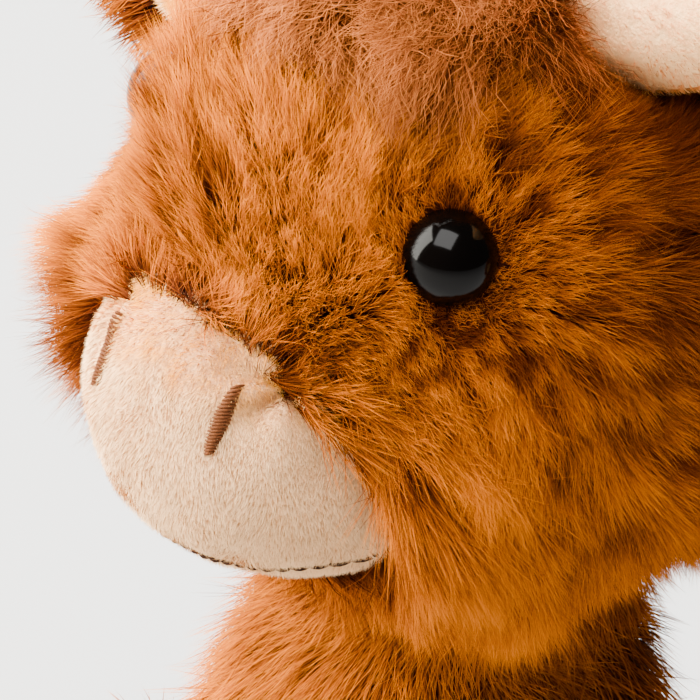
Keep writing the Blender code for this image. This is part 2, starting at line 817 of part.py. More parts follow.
def tail_points(start, stop):
    """The tail leaves the back of the seat and drops as it goes."""
    root = Vector((0, BODY_BACK + BODY_HALF_DEPTH, TAIL_ROOT_HEIGHT))
    points = []
    for step in range(TAIL_POINTS):
        share = start + (stop - start) * step / (TAIL_POINTS - 1)
        points.append(root + Vector((0, TAIL_LENGTH * share, -TAIL_DROP * share * share)))
    return points


def make_tail():
    """The tail cord with its rounded root, and the tuft at its end."""
    points = tail_points(0, 1)
    radii = [TAIL_RADIUS] * TAIL_POINTS
    tail = add_object("tail", tube_mesh("tail", points, radii, THREAD_SIDES), "fur")
    root = ball_mesh("tail_root", TAIL_ROOT_RADIUS)
    combine(tail, add_cutter("tail_root", root, Matrix.Translation(points[0])), "UNION")
    way = (points[-1] - points[-2]).normalized()
    place = frame_matrix(points[-1] + way * (GAP + TUFT_LENGTH / 2), way, (0, 0, 1))

    def shape(d):
        radius = TUFT_RADIUS * (1 - TUFT_TAPER_SHARE * d.z)
        return Vector((d.x * radius, d.y * radius, d.z * TUFT_LENGTH / 2))

    add_object("tail_tuft", form_mesh("tail_tuft", shape, SMALL_FACES), "forelock_fur", place)


def tail_room():
    room = ball_mesh("tail_room", TAIL_ROOT_RADIUS + GAP)
    return add_cutter("tail_room", room, Matrix.Translation(tail_points(0, 1)[0]))


def build():
    limbs = []
    for side in (1, -1):
        patch = 2 * (ARM_ROOT_RADIUS + PATCH_MARGIN)
        limbs.append((side_name("front_leg", side), arm_frame(side), patch))
        patch = 2 * (LEG_ROOT_RADIUS + PATCH_MARGIN)
        limbs.append((side_name("hind_leg", side), leg_frame(side), patch))
    cover = make_body(limbs)
    cut(cover, tail_room())
    make_body_filling(limbs)
    make_seat()
    make_neck_thread()
    eye_rooms = [eye_room(side) for side in (1, -1)]
    washer_rooms = [washer_room(side) for side in (1, -1)]
    make_head(eye_rooms, [ear_room(side) for side in (1, -1)])
    make_head_filling(eye_rooms, washer_rooms)
    make_muzzle()
    make_forelock()
    make_mouth()
    for side in (1, -1):
        make_nostril(side)
        make_eye(side)
        make_washer(side)
        make_horn(side)
        make_ear(side)
        front = side_name("front_leg", side)
        arm_sizes = (arm_length(side), ARM_ROOT_RADIUS, ARM_FOOT_RADIUS, ARM_SEAT_SHARE)
        make_limb(front, arm_frame(side), *arm_sizes)
        leg_sizes = (LEG_LENGTH, LEG_ROOT_RADIUS, LEG_FOOT_RADIUS, LEG_SEAT_SHARE)
        make_limb(side_name("hind_leg", side), leg_frame(side), *leg_sizes)
    make_tail()


clear_scene()
PARTS = collection("plush_cow")
CUTTERS = collection("cutters")
build()
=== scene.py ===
"""Looks of the plush highland cow: pile on every cover, embroidery, glossy eyes, light and camera."""
from math import atan2, cos, exp, pi, radians, sin, sqrt

import bmesh
import bpy
import numpy as np
from mathutils import Matrix, Vector


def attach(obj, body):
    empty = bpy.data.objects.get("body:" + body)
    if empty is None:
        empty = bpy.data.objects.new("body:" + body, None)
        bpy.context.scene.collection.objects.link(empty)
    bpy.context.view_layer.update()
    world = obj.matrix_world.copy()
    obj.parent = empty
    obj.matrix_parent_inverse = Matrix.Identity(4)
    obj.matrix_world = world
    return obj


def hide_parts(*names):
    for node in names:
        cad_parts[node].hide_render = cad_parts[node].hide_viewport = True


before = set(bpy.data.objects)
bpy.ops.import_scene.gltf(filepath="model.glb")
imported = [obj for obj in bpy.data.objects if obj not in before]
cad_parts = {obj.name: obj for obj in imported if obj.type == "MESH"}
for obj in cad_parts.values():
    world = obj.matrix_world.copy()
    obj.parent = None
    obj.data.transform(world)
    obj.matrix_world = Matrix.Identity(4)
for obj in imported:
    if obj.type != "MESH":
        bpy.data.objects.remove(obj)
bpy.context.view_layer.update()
MM = 0.001
SIDES = {"left": 1, "right": -1}

HEAD_CENTRE = Vector((0, 0, 160 * MM))

# Camera, fitted to the eye, the muzzle and the nostrils
VIEW_AZIMUTH = 45.2
VIEW_ELEVATION = 29.5
VIEW_ROLL = 5.0
VIEW_DISTANCE = 1000 * MM
FRAME_WIDTH = 85.4 * MM
SENSOR = 36.0
HEAD_RIGHT_OF_FRAME = 11.1 * MM
HEAD_ABOVE_FRAME = 15.4 * MM
EYE_DEPTH = 44 * MM

# Head and muzzle forms, as in the solids
HEAD_SEMI = np.array((43.5, 43.5, 46.0)) * MM
CHEEK_SHARE = 0.14
CHEEK_LEVEL_SHARE = -0.50
CHEEK_SPREAD_SHARE = 0.42
MUZZLE_SEMI = np.array((28.0, 32.5, 25.0)) * MM
MUZZLE_CENTRE = HEAD_CENTRE + Vector((0, -19 * MM, -11.2 * MM))
MUZZLE_PITCH = radians(11.6)
EYE_WAY = Vector((0.644, -0.635, 0.427)).normalized()
EYE_SEAT = 40.8 * MM

# The skin lies this far inside the cover's outer form, and the pile stands on it
SKIN_DEPTH = 3.4 * MM

RNG = np.random.default_rng(20)
FEW = 1.0


class Sock:
    """A node socket that can be added, multiplied and so on in a Python expression."""

    def __init__(self, tree, link):
        self.tree = tree
        self.link = link

    def _math(self, operation, *values):
        return self.tree.node("ShaderNodeMath", {"operation": operation}, dict(enumerate(values)))

    def __add__(self, other):
        return self._math("ADD", self, other)

    def __sub__(self, other):
        return self._math("SUBTRACT", self, other)

    def __rsub__(self, other):
        return self._math("SUBTRACT", other, self)

    def __mul__(self, other):
        return self._math("MULTIPLY", self, other)

    def __pow__(self, other):
        return self._math("POWER", self, other)

    __radd__ = __add__
    __rmul__ = __mul__


class Finish:
    """A material whose Principled shader is fed by expressions."""

    def __init__(self, name, **fixed):
        self.material = bpy.data.materials.new(name)
        self.material.use_nodes = True
        self.nodes = self.material.node_tree.nodes
        self.links = self.material.node_tree.links
        self.shader = self.nodes["Principled BSDF"]
        for socket, value in fixed.items():
            self.shader.inputs[socket.replace("_", " ")].default_value = value

    def node(self, kind, settings, values, output=0):
        made = self.nodes.new(kind)
        for key, value in settings.items():
            if key == "stops":
                ramp = made.color_ramp.elements
                while len(ramp) < len(value):
                    ramp.new(0.5)
                for element, (place, colour) in zip(ramp, value):
                    element.position = place
                    element.color = (*colour, 1)
            else:
                setattr(made, key, value)
        for key, value in values.items():
            if isinstance(value, Sock):
                self.links.new(value.link, made.inputs[key])
            else:
                made.inputs[key].default_value = value
        return Sock(self, made.outputs[output])

    def place(self):
        return self.node("ShaderNodeTexCoord", {}, {}, "Object")

    def strand_uv(self):
        whole = self.node("ShaderNodeUVMap", {"uv_map": "OFBake"}, {})
        parts = self.nodes.new("ShaderNodeSeparateXYZ")
        self.links.new(whole.link, parts.inputs[0])
        return Sock(self, parts.outputs[0]), Sock(self, parts.outputs[1])

    def noise(self, scale, detail=3.0, rough=0.55, vector=None):
        values = {"Vector": vector or self.place(), "Scale": scale, "Detail": detail, "Roughness": rough}
        return self.node("ShaderNodeTexNoise", {}, values)

    def ramp(self, value, *stops):
        return self.node("ShaderNodeValToRGB", {"stops": stops}, {0: value})

    def mix(self, share, first, second, blend="MIX"):
        settings = {"data_type": "RGBA", "blend_type": blend}
        return self.node("ShaderNodeMix", settings, {0: share, 6: first, 7: second}, 2)

    def bump(self, height, distance, strength=1.0):
        return self.node("ShaderNodeBump", {}, {"Height": height, "Distance": distance, "Strength": strength})

    def feed(self, **sockets):
        for socket, value in sockets.items():
            self.links.new(value.link, self.shader.inputs[socket.replace("_", " ")])
        return self.material


def grey(value):
    return (value, value, value)


def pile_finish(name, root, low, high, tip, warm, cool, rough=0.62):
    """Pile: dark at the root as painted shade deep in the pile, light at the tip partly as painted glow; each strand a
    little warmer or cooler.
    """
    finish = Finish(name, Roughness=rough, Specular_IOR_Level=0.01)
    shade, along = finish.strand_uv()
    colour = finish.ramp(along, (0.0, root), (0.3, low), (0.68, high), (1.0, tip))
    tint = finish.ramp(shade, (0.0, cool), (0.5, grey(1.0)), (1.0, warm))
    return finish.feed(Base_Color=finish.mix(1.0, colour, tint, "MULTIPLY"))


def skin_finish(name, dark, light, scale=900.0):
    """The knitted backing under the pile, painted in the pile's root colours as painted shade between the strands."""
    finish = Finish(name, Roughness=0.95, Specular_IOR_Level=0.1)
    patches = finish.noise(scale * 0.25)
    loops = finish.noise(scale * 2.2, 2.0)
    colour = finish.ramp(patches, (0.3, dark), (0.75, light))
    return finish.feed(Base_Color=colour, Normal=finish.bump(loops, 0.0004, 0.7))


def eye_finish():
    finish = Finish("eye_gloss", Roughness=0.10, Specular_IOR_Level=0.09)
    haze = finish.noise(60.0, 2.0)
    colour = finish.ramp(haze, (0.2, (0.0006, 0.0004, 0.0003)), (0.9, (0.0016, 0.0010, 0.0008)))
    return finish.feed(Base_Color=colour)


def thread_finish(name, dark, light):
    """Satin thread: fine filaments twisted along each stitch."""
    finish = Finish(name, Roughness=0.6, Specular_IOR_Level=0.05)
    filaments = finish.noise(9000.0, 2.0)
    colour = finish.ramp(filaments, (0.3, dark), (0.7, light))
    return finish.feed(Base_Color=colour, Normal=finish.bump(filaments, 0.00004, 0.6))


def filling_finish(name, colour):
    finish = Finish(name, Roughness=0.95)
    fibres = finish.noise(1200.0, 4.0)
    tone = finish.ramp(fibres, (0.3, tuple(0.8 * part for part in colour)), (0.7, colour))
    return finish.feed(Base_Color=tone, Normal=finish.bump(fibres, 0.0005, 0.8))


def floor_finish():
    finish = Finish("floor", Roughness=0.9, Specular_IOR_Level=0.1, Emission_Strength=1.0)
    cloud = finish.noise(3.0, 2.0)
    return finish.feed(Base_Color=finish.ramp(cloud, (0.2, grey(0.29)), (0.8, grey(0.305))))


def unit(vectors):
    lengths = np.linalg.norm(vectors, axis=-1, keepdims=True)
    return vectors / np.maximum(lengths, 1e-12)


def smooth_step(value, low, high):
    share = np.clip((value - low) / (high - low), 0, 1)
    return share * share * (3 - 2 * share)


def near(points, place, size):
    """1 at a place, falling off smoothly around it; place and size in millimetres."""
    return np.exp(-(np.linalg.norm(points - np.array(place) * MM, axis=1) / (size * MM)) ** 2)


def waves(points, size, seed):
    """Smooth noise from -1 to 1 over points: a sum of waves of about that size."""
    chance = np.random.default_rng(seed)
    total = np.zeros(len(points))
    for _ in range(7):
        way = unit(chance.normal(size=3))
        length = size * chance.uniform(0.6, 1.6)
        total += np.sin(points @ way * (2 * pi / length) + chance.uniform(0, 2 * pi))
    return total / 3.2


def head_form(d, inset):
    """The egg of the head, fuller at the cheeks, as in the solids; d is unit directions."""
    swell = 1 + CHEEK_SHARE * np.exp(-((d[:, 2] - CHEEK_LEVEL_SHARE) / CHEEK_SPREAD_SHARE) ** 2)
    flat = np.sqrt(np.maximum(1e-12, 1 - d[:, 2] ** 2))
    aside = np.where(d[:, 1] < 0, smooth_step(np.abs(d[:, 0]) / flat, 0.45, 0.80), 1)
    deep = 1 + (swell - 1) * aside
    semi = HEAD_SEMI * np.stack((swell, deep, np.ones(len(d))), axis=1) - inset
    return d * semi + np.array(HEAD_CENTRE)


def form_mesh(name, shape, across, along):
    """A sphere whose points are moved by a shape that works on an array of directions."""
    ball = bmesh.new()
    bmesh.ops.create_uvsphere(ball, u_segments=across, v_segments=along, radius=1)
    places = shape(unit(np.array([point.co for point in ball.verts])))
    for point, place in zip(ball.verts, places):
        point.co = place
    if ball.calc_volume(signed=True) < 0:
        bmesh.ops.reverse_faces(ball, faces=ball.faces)
    mesh = bpy.data.meshes.new(name)
    ball.to_mesh(mesh)
    ball.free()
    mesh.shade_smooth()
    return mesh


def add(name, mesh, material, body, slot, *replaced):
    piece = bpy.data.objects.new(name, mesh)
    bpy.context.scene.collection.objects.link(piece)
    if material is not None:
        mesh.materials.clear()
        mesh.materials.append(material)
    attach(piece, body)
    if replaced:
        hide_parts(*replaced)
    return piece


def add_stuffed(name, mesh, material, body, slot, *replaced):
    """The stuffed cloth of a cover, which its pile stands on."""
    return add(name, mesh, material, body, slot, *replaced)


def scatter(mesh, count, keep=None):
    """Evenly strewn places on a mesh, with their smooth normals; keep picks among the places."""
    mesh.calc_loop_triangles()
    corners = np.zeros(len(mesh.loop_triangles) * 3, int)
    mesh.loop_triangles.foreach_get("vertices", corners)
    corners = corners.reshape(-1, 3)
    places = np.zeros(len(mesh.vertices) * 3)
    mesh.vertices.foreach_get("co", places)
    places = places.reshape(-1, 3)
    normals = np.zeros(len(mesh.vertices) * 3)
    mesh.vertices.foreach_get("normal", normals)
    normals = normals.reshape(-1, 3)
    a, b, c = (places[corners[:, k]] for k in range(3))
    areas = np.linalg.norm(np.cross(b - a, c - a), axis=1)
    if keep is not None:
        areas = areas * keep((a + b + c) / 3)
    picked = RNG.choice(len(corners), size=count, p=areas / areas.sum())
    u, v = RNG.random(count), RNG.random(count)
    over = u + v > 1
    u[over], v[over] = 1 - u[over], 1 - v[over]
    shares = np.stack((1 - u - v, u, v), axis=1)[:, :, None]
    roots = (places[corners[picked]] * shares).sum(axis=1)
    ups = unit((normals[corners[picked]] * shares).sum(axis=1))
    return roots, ups


def clump_to(roots, size, seed):
    """For each root, the middle of the tuft it belongs to: jittered cells of about that size."""
    cells = np.floor(roots / size + 0.5).astype(int)
    best = np.full(len(roots), 1e9)
    middle = np.zeros_like(roots)
    for dx in (-1, 0, 1):
        for dy in (-1, 0, 1):
            for dz in (-1, 0, 1):
                near = cells + np.array((dx, dy, dz))
                jitter = hashed(near, seed) - 0.5
                place = (near + jitter * 0.9) * size
                away = np.linalg.norm(roots - place, axis=1)
                closer = away < best
                best[closer] = away[closer]
                middle[closer] = place[closer]
    return middle


def hashed(cells, seed):
    """Three numbers from 0 to 1 for each cell, always the same."""
    mixed = cells @ np.array((127.1, 311.7, 74.7)) + seed * 17.3
    return np.stack([np.modf(np.abs(np.sin(mixed * k) * 43758.5453))[0] for k in (1.0, 1.37, 1.91)], axis=1)


def strand_mesh(name, roots, ups, flows, lengths, widths, lift, shade, levels, curl=None, sink=0.0):
    """Flat tapered strands from roots. lift gives each strand's angle from the skin at root and tip.

    levels are the shares along the strand where it has a pair of points; it ends in one tip point.
    curl is (radius, turns) arrays for frizzy pile.
    """
    count = len(roots)
    flows = unit(flows - (flows * ups).sum(1, keepdims=True) * ups)
    shares = np.append(np.array(levels), 1.0)
    spine = [roots - ups * sink]
    angle0, angle1 = lift
    ways = []
    for low, high in zip(shares, shares[1:]):
        middle = (low + high) / 2
        angle = angle0 + (angle1 - angle0) * middle ** 0.7
        way = flows * np.cos(angle)[:, None] + ups * np.sin(angle)[:, None]
        ways.append(way)
        spine.append(spine[-1] + way * (lengths * (high - low))[:, None])
    return finish_strands(name, roots, ups, spine, ways, shares, widths, shade, curl)


def finish_strands(name, roots, ups, spine, ways, shares, widths, shade, curl):
    """Gives strands their width, twist, normals and map, and makes the mesh."""
    count = len(roots)
    ways.append(ways[-1])
    twist = RNG.normal(0, 0.55, count)
    lefts, rights, normals = [], [], []
    if curl is not None:
        radius, turns = curl
        start = RNG.uniform(0, 2 * pi, count)
        side0 = unit(np.cross(ways[0], ups))
        for level, share in enumerate(shares):
            turn = start + turns * 2 * pi * share
            reach = (radius * min(1.0, share * 3))[:, None]
            spine[level] = spine[level] + (side0 * np.cos(turn)[:, None] + ups * np.sin(turn)[:, None]) * reach
    for level, share in enumerate(shares):
        way = ways[level]
        side = unit(np.cross(way, ups))
        up = np.cross(side, way)
        turned = side * np.cos(twist)[:, None] + up * np.sin(twist)[:, None]
        taper = (1 - 0.55 * share) if share < 1 else 0
        half = turned * (widths * taper / 2)[:, None]
        lefts.append(spine[level] - half)
        rights.append(spine[level] + half)
        normals.append(unit(ups * 0.75 + up * 0.55 + turned * (RNG.normal(0, 0.16, count))[:, None]))
    pairs = len(shares) - 1
    per = 2 * pairs + 1
    verts = np.zeros((count, per, 3))
    vert_normals = np.zeros((count, per, 3))
    uvs = np.zeros((count, per, 2))
    for level in range(pairs):
        verts[:, 2 * level] = lefts[level]
        verts[:, 2 * level + 1] = rights[level]
        vert_normals[:, 2 * level] = normals[level]
        vert_normals[:, 2 * level + 1] = normals[level]
        uvs[:, 2 * level] = np.stack((shade * 0.98, np.full(count, shares[level])), axis=1)
        uvs[:, 2 * level + 1] = np.stack((shade * 0.98 + 0.02, np.full(count, shares[level])), axis=1)
    verts[:, -1] = spine[-1]
    verts[:, :, 2] = np.maximum(verts[:, :, 2], 0.2 * MM)
    vert_normals[:, -1] = normals[-1]
    uvs[:, -1] = np.stack((shade * 0.98 + 0.01, np.ones(count)), axis=1)
    return ribbon_mesh(name, verts, vert_normals, uvs, pairs)


def ribbon_mesh(name, verts, normals, uvs, pairs):
    count, per = verts.shape[:2]
    pattern = []
    for level in range(pairs - 1):
        base = 2 * level
        pattern.append((base, base + 1, base + 3, base + 2))
    pattern.append((2 * pairs - 2, 2 * pairs - 1, 2 * pairs))
    flat = np.array([index for face in pattern for index in face])
    corners = (np.arange(count)[:, None] * per + flat[None, :]).ravel()
    sizes = np.tile([len(face) for face in pattern], count)
    mesh = bpy.data.meshes.new(name)
    mesh.vertices.add(count * per)
    mesh.vertices.foreach_set("co", verts.astype(np.float32).ravel())
    mesh.loops.add(len(corners))
    mesh.loops.foreach_set("vertex_index", corners.astype(np.int32))
    mesh.polygons.add(len(sizes))
    starts = np.concatenate(([0], np.cumsum(sizes)[:-1]))
    mesh.polygons.foreach_set("loop_start", starts.astype(np.int32))
    mesh.update(calc_edges=True)
    layer = mesh.uv_layers.new(name="OFBake")
    layer.data.foreach_set("uv", uvs.reshape(-1, 2)[corners].astype(np.float32).ravel())
    mesh.polygons.foreach_set("use_smooth", np.ones(len(sizes), bool))
    mesh.normals_split_custom_set_from_vertices(normals.reshape(-1, 3).astype(np.float32))
    return mesh


# Flow of the pile on the head, in the head's own places
NOSE = np.array((0, -43, -13)) * MM
EYES = [np.array((side * EYE_WAY.x, EYE_WAY.y, EYE_WAY.z)) * 43.5 * MM for side in (1, -1)]
NECK = np.array((0, 8, -56)) * MM


def muzzle_share(places, grow):
    """Below 1 inside the muzzle's form grown by a length; places are in the row frame."""
    turned = np.array(Matrix.Rotation(-MUZZLE_PITCH, 3, "X"))
    local = (places - np.array(MUZZLE_CENTRE)) @ turned.T
    return np.linalg.norm(local / (MUZZLE_SEMI + grow), axis=1)


def head_flow(roots):
    """The way the pile lies: off the muzzle, round the eyes, over the crown and down the back."""
    p = roots - np.array(HEAD_CENTRE)
    away = p - NOSE
    far = np.linalg.norm(away, axis=1)
    flow = unit(away)
    low = smooth_step(18 * MM - p[:, 2], 0, 16 * MM)
    aside = smooth_step(np.abs(p[:, 0]), 10 * MM, 24 * MM)
    flow[:, 2] -= low * (0.7 * aside + 1.3 * smooth_step(far, 30 * MM, 60 * MM))
    for eye in EYES:
        out = p - eye
        reach = np.linalg.norm(out, axis=1)
        out = unit(out)
        muzzle_side = np.clip(out @ unit(NOSE - eye), 0, 1)
        inner = smooth_step(np.abs(eye[0]) - np.abs(p[:, 0]), -2 * MM, 4 * MM)
        strength = 1.7 * np.exp(-(reach / (11 * MM)) ** 2) * (1 - 0.35 * muzzle_side) * (1 - 0.6 * inner * (eye[0] < 0))
        flow += out * strength[:, None]
    way, close = to_ridge(p)
    reach = np.linalg.norm(way, axis=1)
    flow = unit(flow) + way / (5 * MM) * np.exp(-(reach / (9 * MM)) ** 2)[:, None] * 0.9
    flow[:, 2] -= 0.8 * close
    for axis in range(3):
        flow[:, axis] += 0.30 * waves(roots, 16 * MM, 40 + axis) + 0.16 * waves(roots, 6 * MM, 50 + axis)
    return unit(flow)


def to_ridge(p):
    """From each place, the way to the fold that hangs down each cheek, and how near it is."""
    side = np.where(p[:, 0] < 0, -1, 1)
    level = np.clip(p[:, 2], -34 * MM, -2 * MM)
    share = (level + 2 * MM) / (-32 * MM)
    line = np.stack((side * (31.5 - 1.5 * share) * MM, (-25.5 + 11 * share) * MM, level), axis=1)
    way = line - p
    return way, np.exp(-(np.linalg.norm(way, axis=1) / (6.5 * MM)) ** 2)


def head_length(roots):
    """Short in the hollow under each eye, long on the cheeks and jowls, between the eyes and behind."""
    p = roots - np.array(HEAD_CENTRE)
    brow = smooth_step(p[:, 2], -8 * MM, 8 * MM) * smooth_step(-p[:, 1], -5 * MM, 20 * MM)
    jowl = smooth_step(-p[:, 2], 12 * MM, 28 * MM) * smooth_step(-p[:, 1], 2 * MM, 22 * MM)
    length = (11.5 - 3.5 * brow + 3.0 * jowl) * MM
    length = length * (0.85 + 0.15 * smooth_step(muzzle_share(roots, 0), 1.0, 1.30))
    for eye in EYES:
        reach = np.linalg.norm(p - eye, axis=1)
        inner = smooth_step(np.abs(eye[0]) - np.abs(p[:, 0]), -2 * MM, 4 * MM)
        inner *= smooth_step(p[:, 2], 8 * MM, 16 * MM)
        inner *= 0.9 if eye[0] < 0 else 0.25
        short = 0.20 + 0.84 * inner
        length = length * (short + (1 - short) * smooth_step(reach, 5 * MM, 16 * MM))
        length = length * (1 + 0.55 * inner * np.exp(-(reach / (15 * MM)) ** 2))
    for side in (1, -1):
        length = length * (1 - 0.62 * near(p, (side * 31, -26, 9), 10.5))
        length = length * (1 - 0.40 * near(p, (side * 27, -34, 1), 7.0))
        length = length * (1 + 0.55 * near(p, (side * 23, -34, -17), 9.0))
        length = length * (1 - 0.68 * near(p, (side * 32, -2, -43), 19.0))
        root = np.array(horn_line(side, 0.25)) - np.array(HEAD_CENTRE)
        length = length * (0.22 + 0.78 * smooth_step(np.linalg.norm(p - root, axis=1), 12 * MM, 24 * MM))
    length = length * (1 + 0.25 * to_ridge(p)[1])
    return length * (1 + 0.16 * waves(roots, 14 * MM, 60))


def head_open(places):
    """1 where pile grows: not under the muzzle, the eyes, the horns or the neck."""
    p = places - np.array(HEAD_CENTRE)
    grows = (muzzle_share(places, 0.2 * MM) > 1).astype(float)
    for eye in EYES:
        grows *= np.linalg.norm(p - eye, axis=1) > 6.4 * MM
    for side in (1, -1):
        for share in (0.1, 0.2, 0.3, 0.4, 0.5):
            middle = np.array(horn_line(side, share)) - np.array(HEAD_CENTRE)
            grows *= np.linalg.norm(p - middle, axis=1) > (13.3 - 5.5 * share) * MM
    return grows * (np.linalg.norm(p - NECK, axis=1) > 23.5 * MM)


def pile(name, mesh, count, body, slot, finish, flow, length, width, keep=None, lift=(62, 22),
         tuft=5.0, pull=1.1, levels=(0, 0.5), seed=1, bright=None, curl=None, mottle=1.0):
    """Covers a skin with strands that lean into tufts, and rides them on the skin's body."""
    count = max(200, int(count * FEW))
    roots, ups = scatter(mesh, count, keep)
    flows = flow(roots)
    lengths = length(roots) * RNG.uniform(0.60, 1.15, count)
    drawn = np.zeros_like(roots)
    for size, share in ((tuft * MM, 0.62), (tuft * 0.36 * MM, 0.38)):
        middle = clump_to(roots, size, seed)
        drawn += (middle - roots) / size * share
    held = pull * (RNG.random(count) > 0.25)
    flows = unit(flows + drawn * held[:, None] + RNG.normal(0, 0.22, roots.shape))
    steep = 1 + 0.28 * waves(roots, 9 * MM, seed + 7)
    rise0 = np.radians(lift[0]) * steep
    rise1 = np.radians(lift[1]) * steep + RNG.normal(0, 0.15, count)
    # Light and dark patches over the pile: partly the pile's own uneven tone, partly painted light on tufts and painted
    # shade in the pits between them.
    patches = 0.20 * waves(roots, 12 * MM, seed + 3) + 0.62 * waves(roots, 4.2 * MM, seed + 5)
    shade = np.clip(0.5 + mottle * (patches + RNG.normal(0, 0.16, count)), 0, 1)
    # bright shifts each strand's tone: painted light and shade on the head, the breast and the muzzle, and the horns'
    # own tone.
    if bright is not None:
        shade = np.clip(shade + bright(roots), 0, 1)
    widths = width * MM / sqrt(FEW) * RNG.uniform(0.7, 1.25, count)
    if curl is not None:
        curl = (curl[0] * MM * RNG.uniform(0.5, 1.3, count), curl[1] * RNG.uniform(0.6, 1.4, count))
    strands = strand_mesh(name, roots, ups, flows, lengths, widths, (rise0, rise1), shade, levels, curl)
    return add(name, strands, finish, body, slot)


def horn_line(side, share):
    slope = radians(12)
    way = Vector((side * cos(slope), 0, sin(slope)))
    root = HEAD_CENTRE + Vector((side * 20, 9, 39)) * MM - way * 10 * MM
    return root + way * 58 * MM * share + Vector((0, 0, 26 * MM)) * share * share


# Each pile runs root, low, high, tip: the dark roots are painted shade deep in the pile, the light tips partly the
# pile's own tone and partly painted glow.
RUST = pile_finish("rust_pile", (0.012, 0.0020, 0.0006), (0.058, 0.0102, 0.0018), (0.25, 0.050, 0.0014),
                   (0.55, 0.140, 0.0008), (1.45, 1.56, 0.8), (0.27, 0.21, 0.45))
FRIZZ = pile_finish("frizz_pile", (0.020, 0.0045, 0.0008), (0.110, 0.025, 0.005), (0.25, 0.064, 0.012),
                    (0.46, 0.133, 0.026), (1.2, 1.2, 1.3), (0.70, 0.64, 0.6), rough=0.7)
CREAM = pile_finish("cream_pile", (0.46, 0.23, 0.09), (0.68, 0.38, 0.17), (0.80, 0.48, 0.23),
                    (0.88, 0.56, 0.29), (1.04, 1.06, 1.12), (0.95, 0.58, 0.05), rough=0.6)
IVORY = pile_finish("horn_pile", (0.85, 0.43, 0.17), (1.0, 0.54, 0.22), (1.0, 0.59, 0.26),
                    (1.0, 0.64, 0.30), (1.0, 1.03, 1.06), (1.0, 0.92, 0.82), rough=0.6)
BROWN = pile_finish("hoof_pile", (0.010, 0.003, 0.001), (0.040, 0.012, 0.003), (0.085, 0.026, 0.007),
                    (0.14, 0.045, 0.013), (1.2, 1.2, 1.2), (0.8, 0.78, 0.75), rough=0.6)
# The backings are painted in the pile's root colours, darkest for the rust: painted shade in the gaps between the
# strands.
RUST_SKIN = skin_finish("rust_backing", (0.010, 0.0015, 0.0002), (0.040, 0.006, 0.0006))
FRIZZ_SKIN = skin_finish("frizz_backing", (0.05, 0.010, 0.001), (0.13, 0.028, 0.003))
CREAM_SKIN = skin_finish("cream_backing", (0.62, 0.30, 0.12), (0.84, 0.46, 0.21))
IVORY_SKIN = skin_finish("horn_backing", (0.9, 0.48, 0.20), (1.0, 0.60, 0.27))
BROWN_SKIN = skin_finish("hoof_backing", (0.018, 0.005, 0.001), (0.045, 0.014, 0.004))


def head_skin():
    mesh = form_mesh("head_skin", lambda d: head_form(d, SKIN_DEPTH), 96, 64)
    add_stuffed("head_skin", mesh, RUST_SKIN, "head", "fur", "head_cover")
    return mesh


def head_sector(side, high):
    """Picks one part of the head: left or right, brow or cheek."""
    def keep(places):
        p = places - np.array(HEAD_CENTRE)
        here = (p[:, 0] * side > 0) & (p[:, 1] < 14 * MM)
        here &= (p[:, 2] > -4 * MM) == high
        return head_open(places) * here
    return keep


def head_back(places):
    p = places - np.array(HEAD_CENTRE)
    return head_open(places) * (p[:, 1] >= 14 * MM)


def head_painted_light(roots):
    """Painted light and shade on the head's pile: lighter on the brow, the bridge and the jowls, darker on the crown
    and the sides behind the eyes, a painted shadow under each horn, a painted highlight on each cheek fold with painted
    shade beside it.
    """
    p = roots - np.array(HEAD_CENTRE)
    # Painted light on the front of the face, painted shade on the crown and the sides behind it.
    front = smooth_step(-p[:, 1], 2 * MM, 24 * MM)
    high = smooth_step(p[:, 2], 2 * MM, 22 * MM) * (1 - front)
    # Painted highlight along the crest of each cheek fold, painted shade in the valleys beside it.
    way, close = to_ridge(p)
    beside = np.exp(-((np.linalg.norm(way, axis=1) - 10 * MM) / (4 * MM)) ** 2)
    # Painted shadow under each horn and ear, where they block the light from above.
    deep = near(p, (38, 2, 22), 19) + near(p, (-38, 2, 22), 19)
    return 0.24 * front - 0.34 * high - 0.50 * deep + 0.30 * close - 0.34 * beside - 0.04


def make_head():
    skin = head_skin()
    parts = (("cheek_pile_left", head_sector(1, False), 62000, 0.125), ("brow_pile_left", head_sector(1, True), 62000, 0.115),
             ("cheek_pile_right", head_sector(-1, False), 50000, 0.14), ("brow_pile_right", head_sector(-1, True), 42000, 0.135),
             ("nape_pile", head_back, 26000, 0.28))
    for seed, (name, keep, count, width) in enumerate(parts):
        pile(name, skin, count, "head", "fur", RUST, head_flow, head_length, width, keep, seed=3,
             bright=head_painted_light, curl=(0.35, 0.7), lift=(70, 34))


def muzzle_bulge(local):
    """Folds of the muzzle's cloth: a dart beside each nostril and slack, shallow dimples."""
    out = 0.28 * MM * waves(local, 15 * MM, 70) + 0.12 * MM * waves(local, 6 * MM, 71)
    for side in (1, -1):
        dart = np.array((side * 15.5, -20.0, 14.0)) * MM
        away = local - dart
        reach = np.linalg.norm(away, axis=1)
        turn = np.arctan2(away[:, 2] + away[:, 1] * 0.5, away[:, 0] * side)
        out -= 2.0 * MM * np.exp(-(reach / (3.4 * MM)) ** 2)
        folds = np.cos(5 * turn + 0.6) * np.exp(-(reach / (7.5 * MM)) ** 2) * smooth_step(reach, 0, 3 * MM)
        out += 1.2 * MM * folds
    return out


def muzzle_form(d):
    local = d * MUZZLE_SEMI
    local = local + d * muzzle_bulge(local)[:, None]
    turn = np.array(Matrix.Rotation(MUZZLE_PITCH, 3, "X"))
    return local @ turn.T + np.array(MUZZLE_CENTRE)


def muzzle_proud(places):
    """How far a place on the muzzle stands out of the head's form, as a share of the head."""
    return np.linalg.norm((places - np.array(HEAD_CENTRE)) / HEAD_SEMI, axis=1)


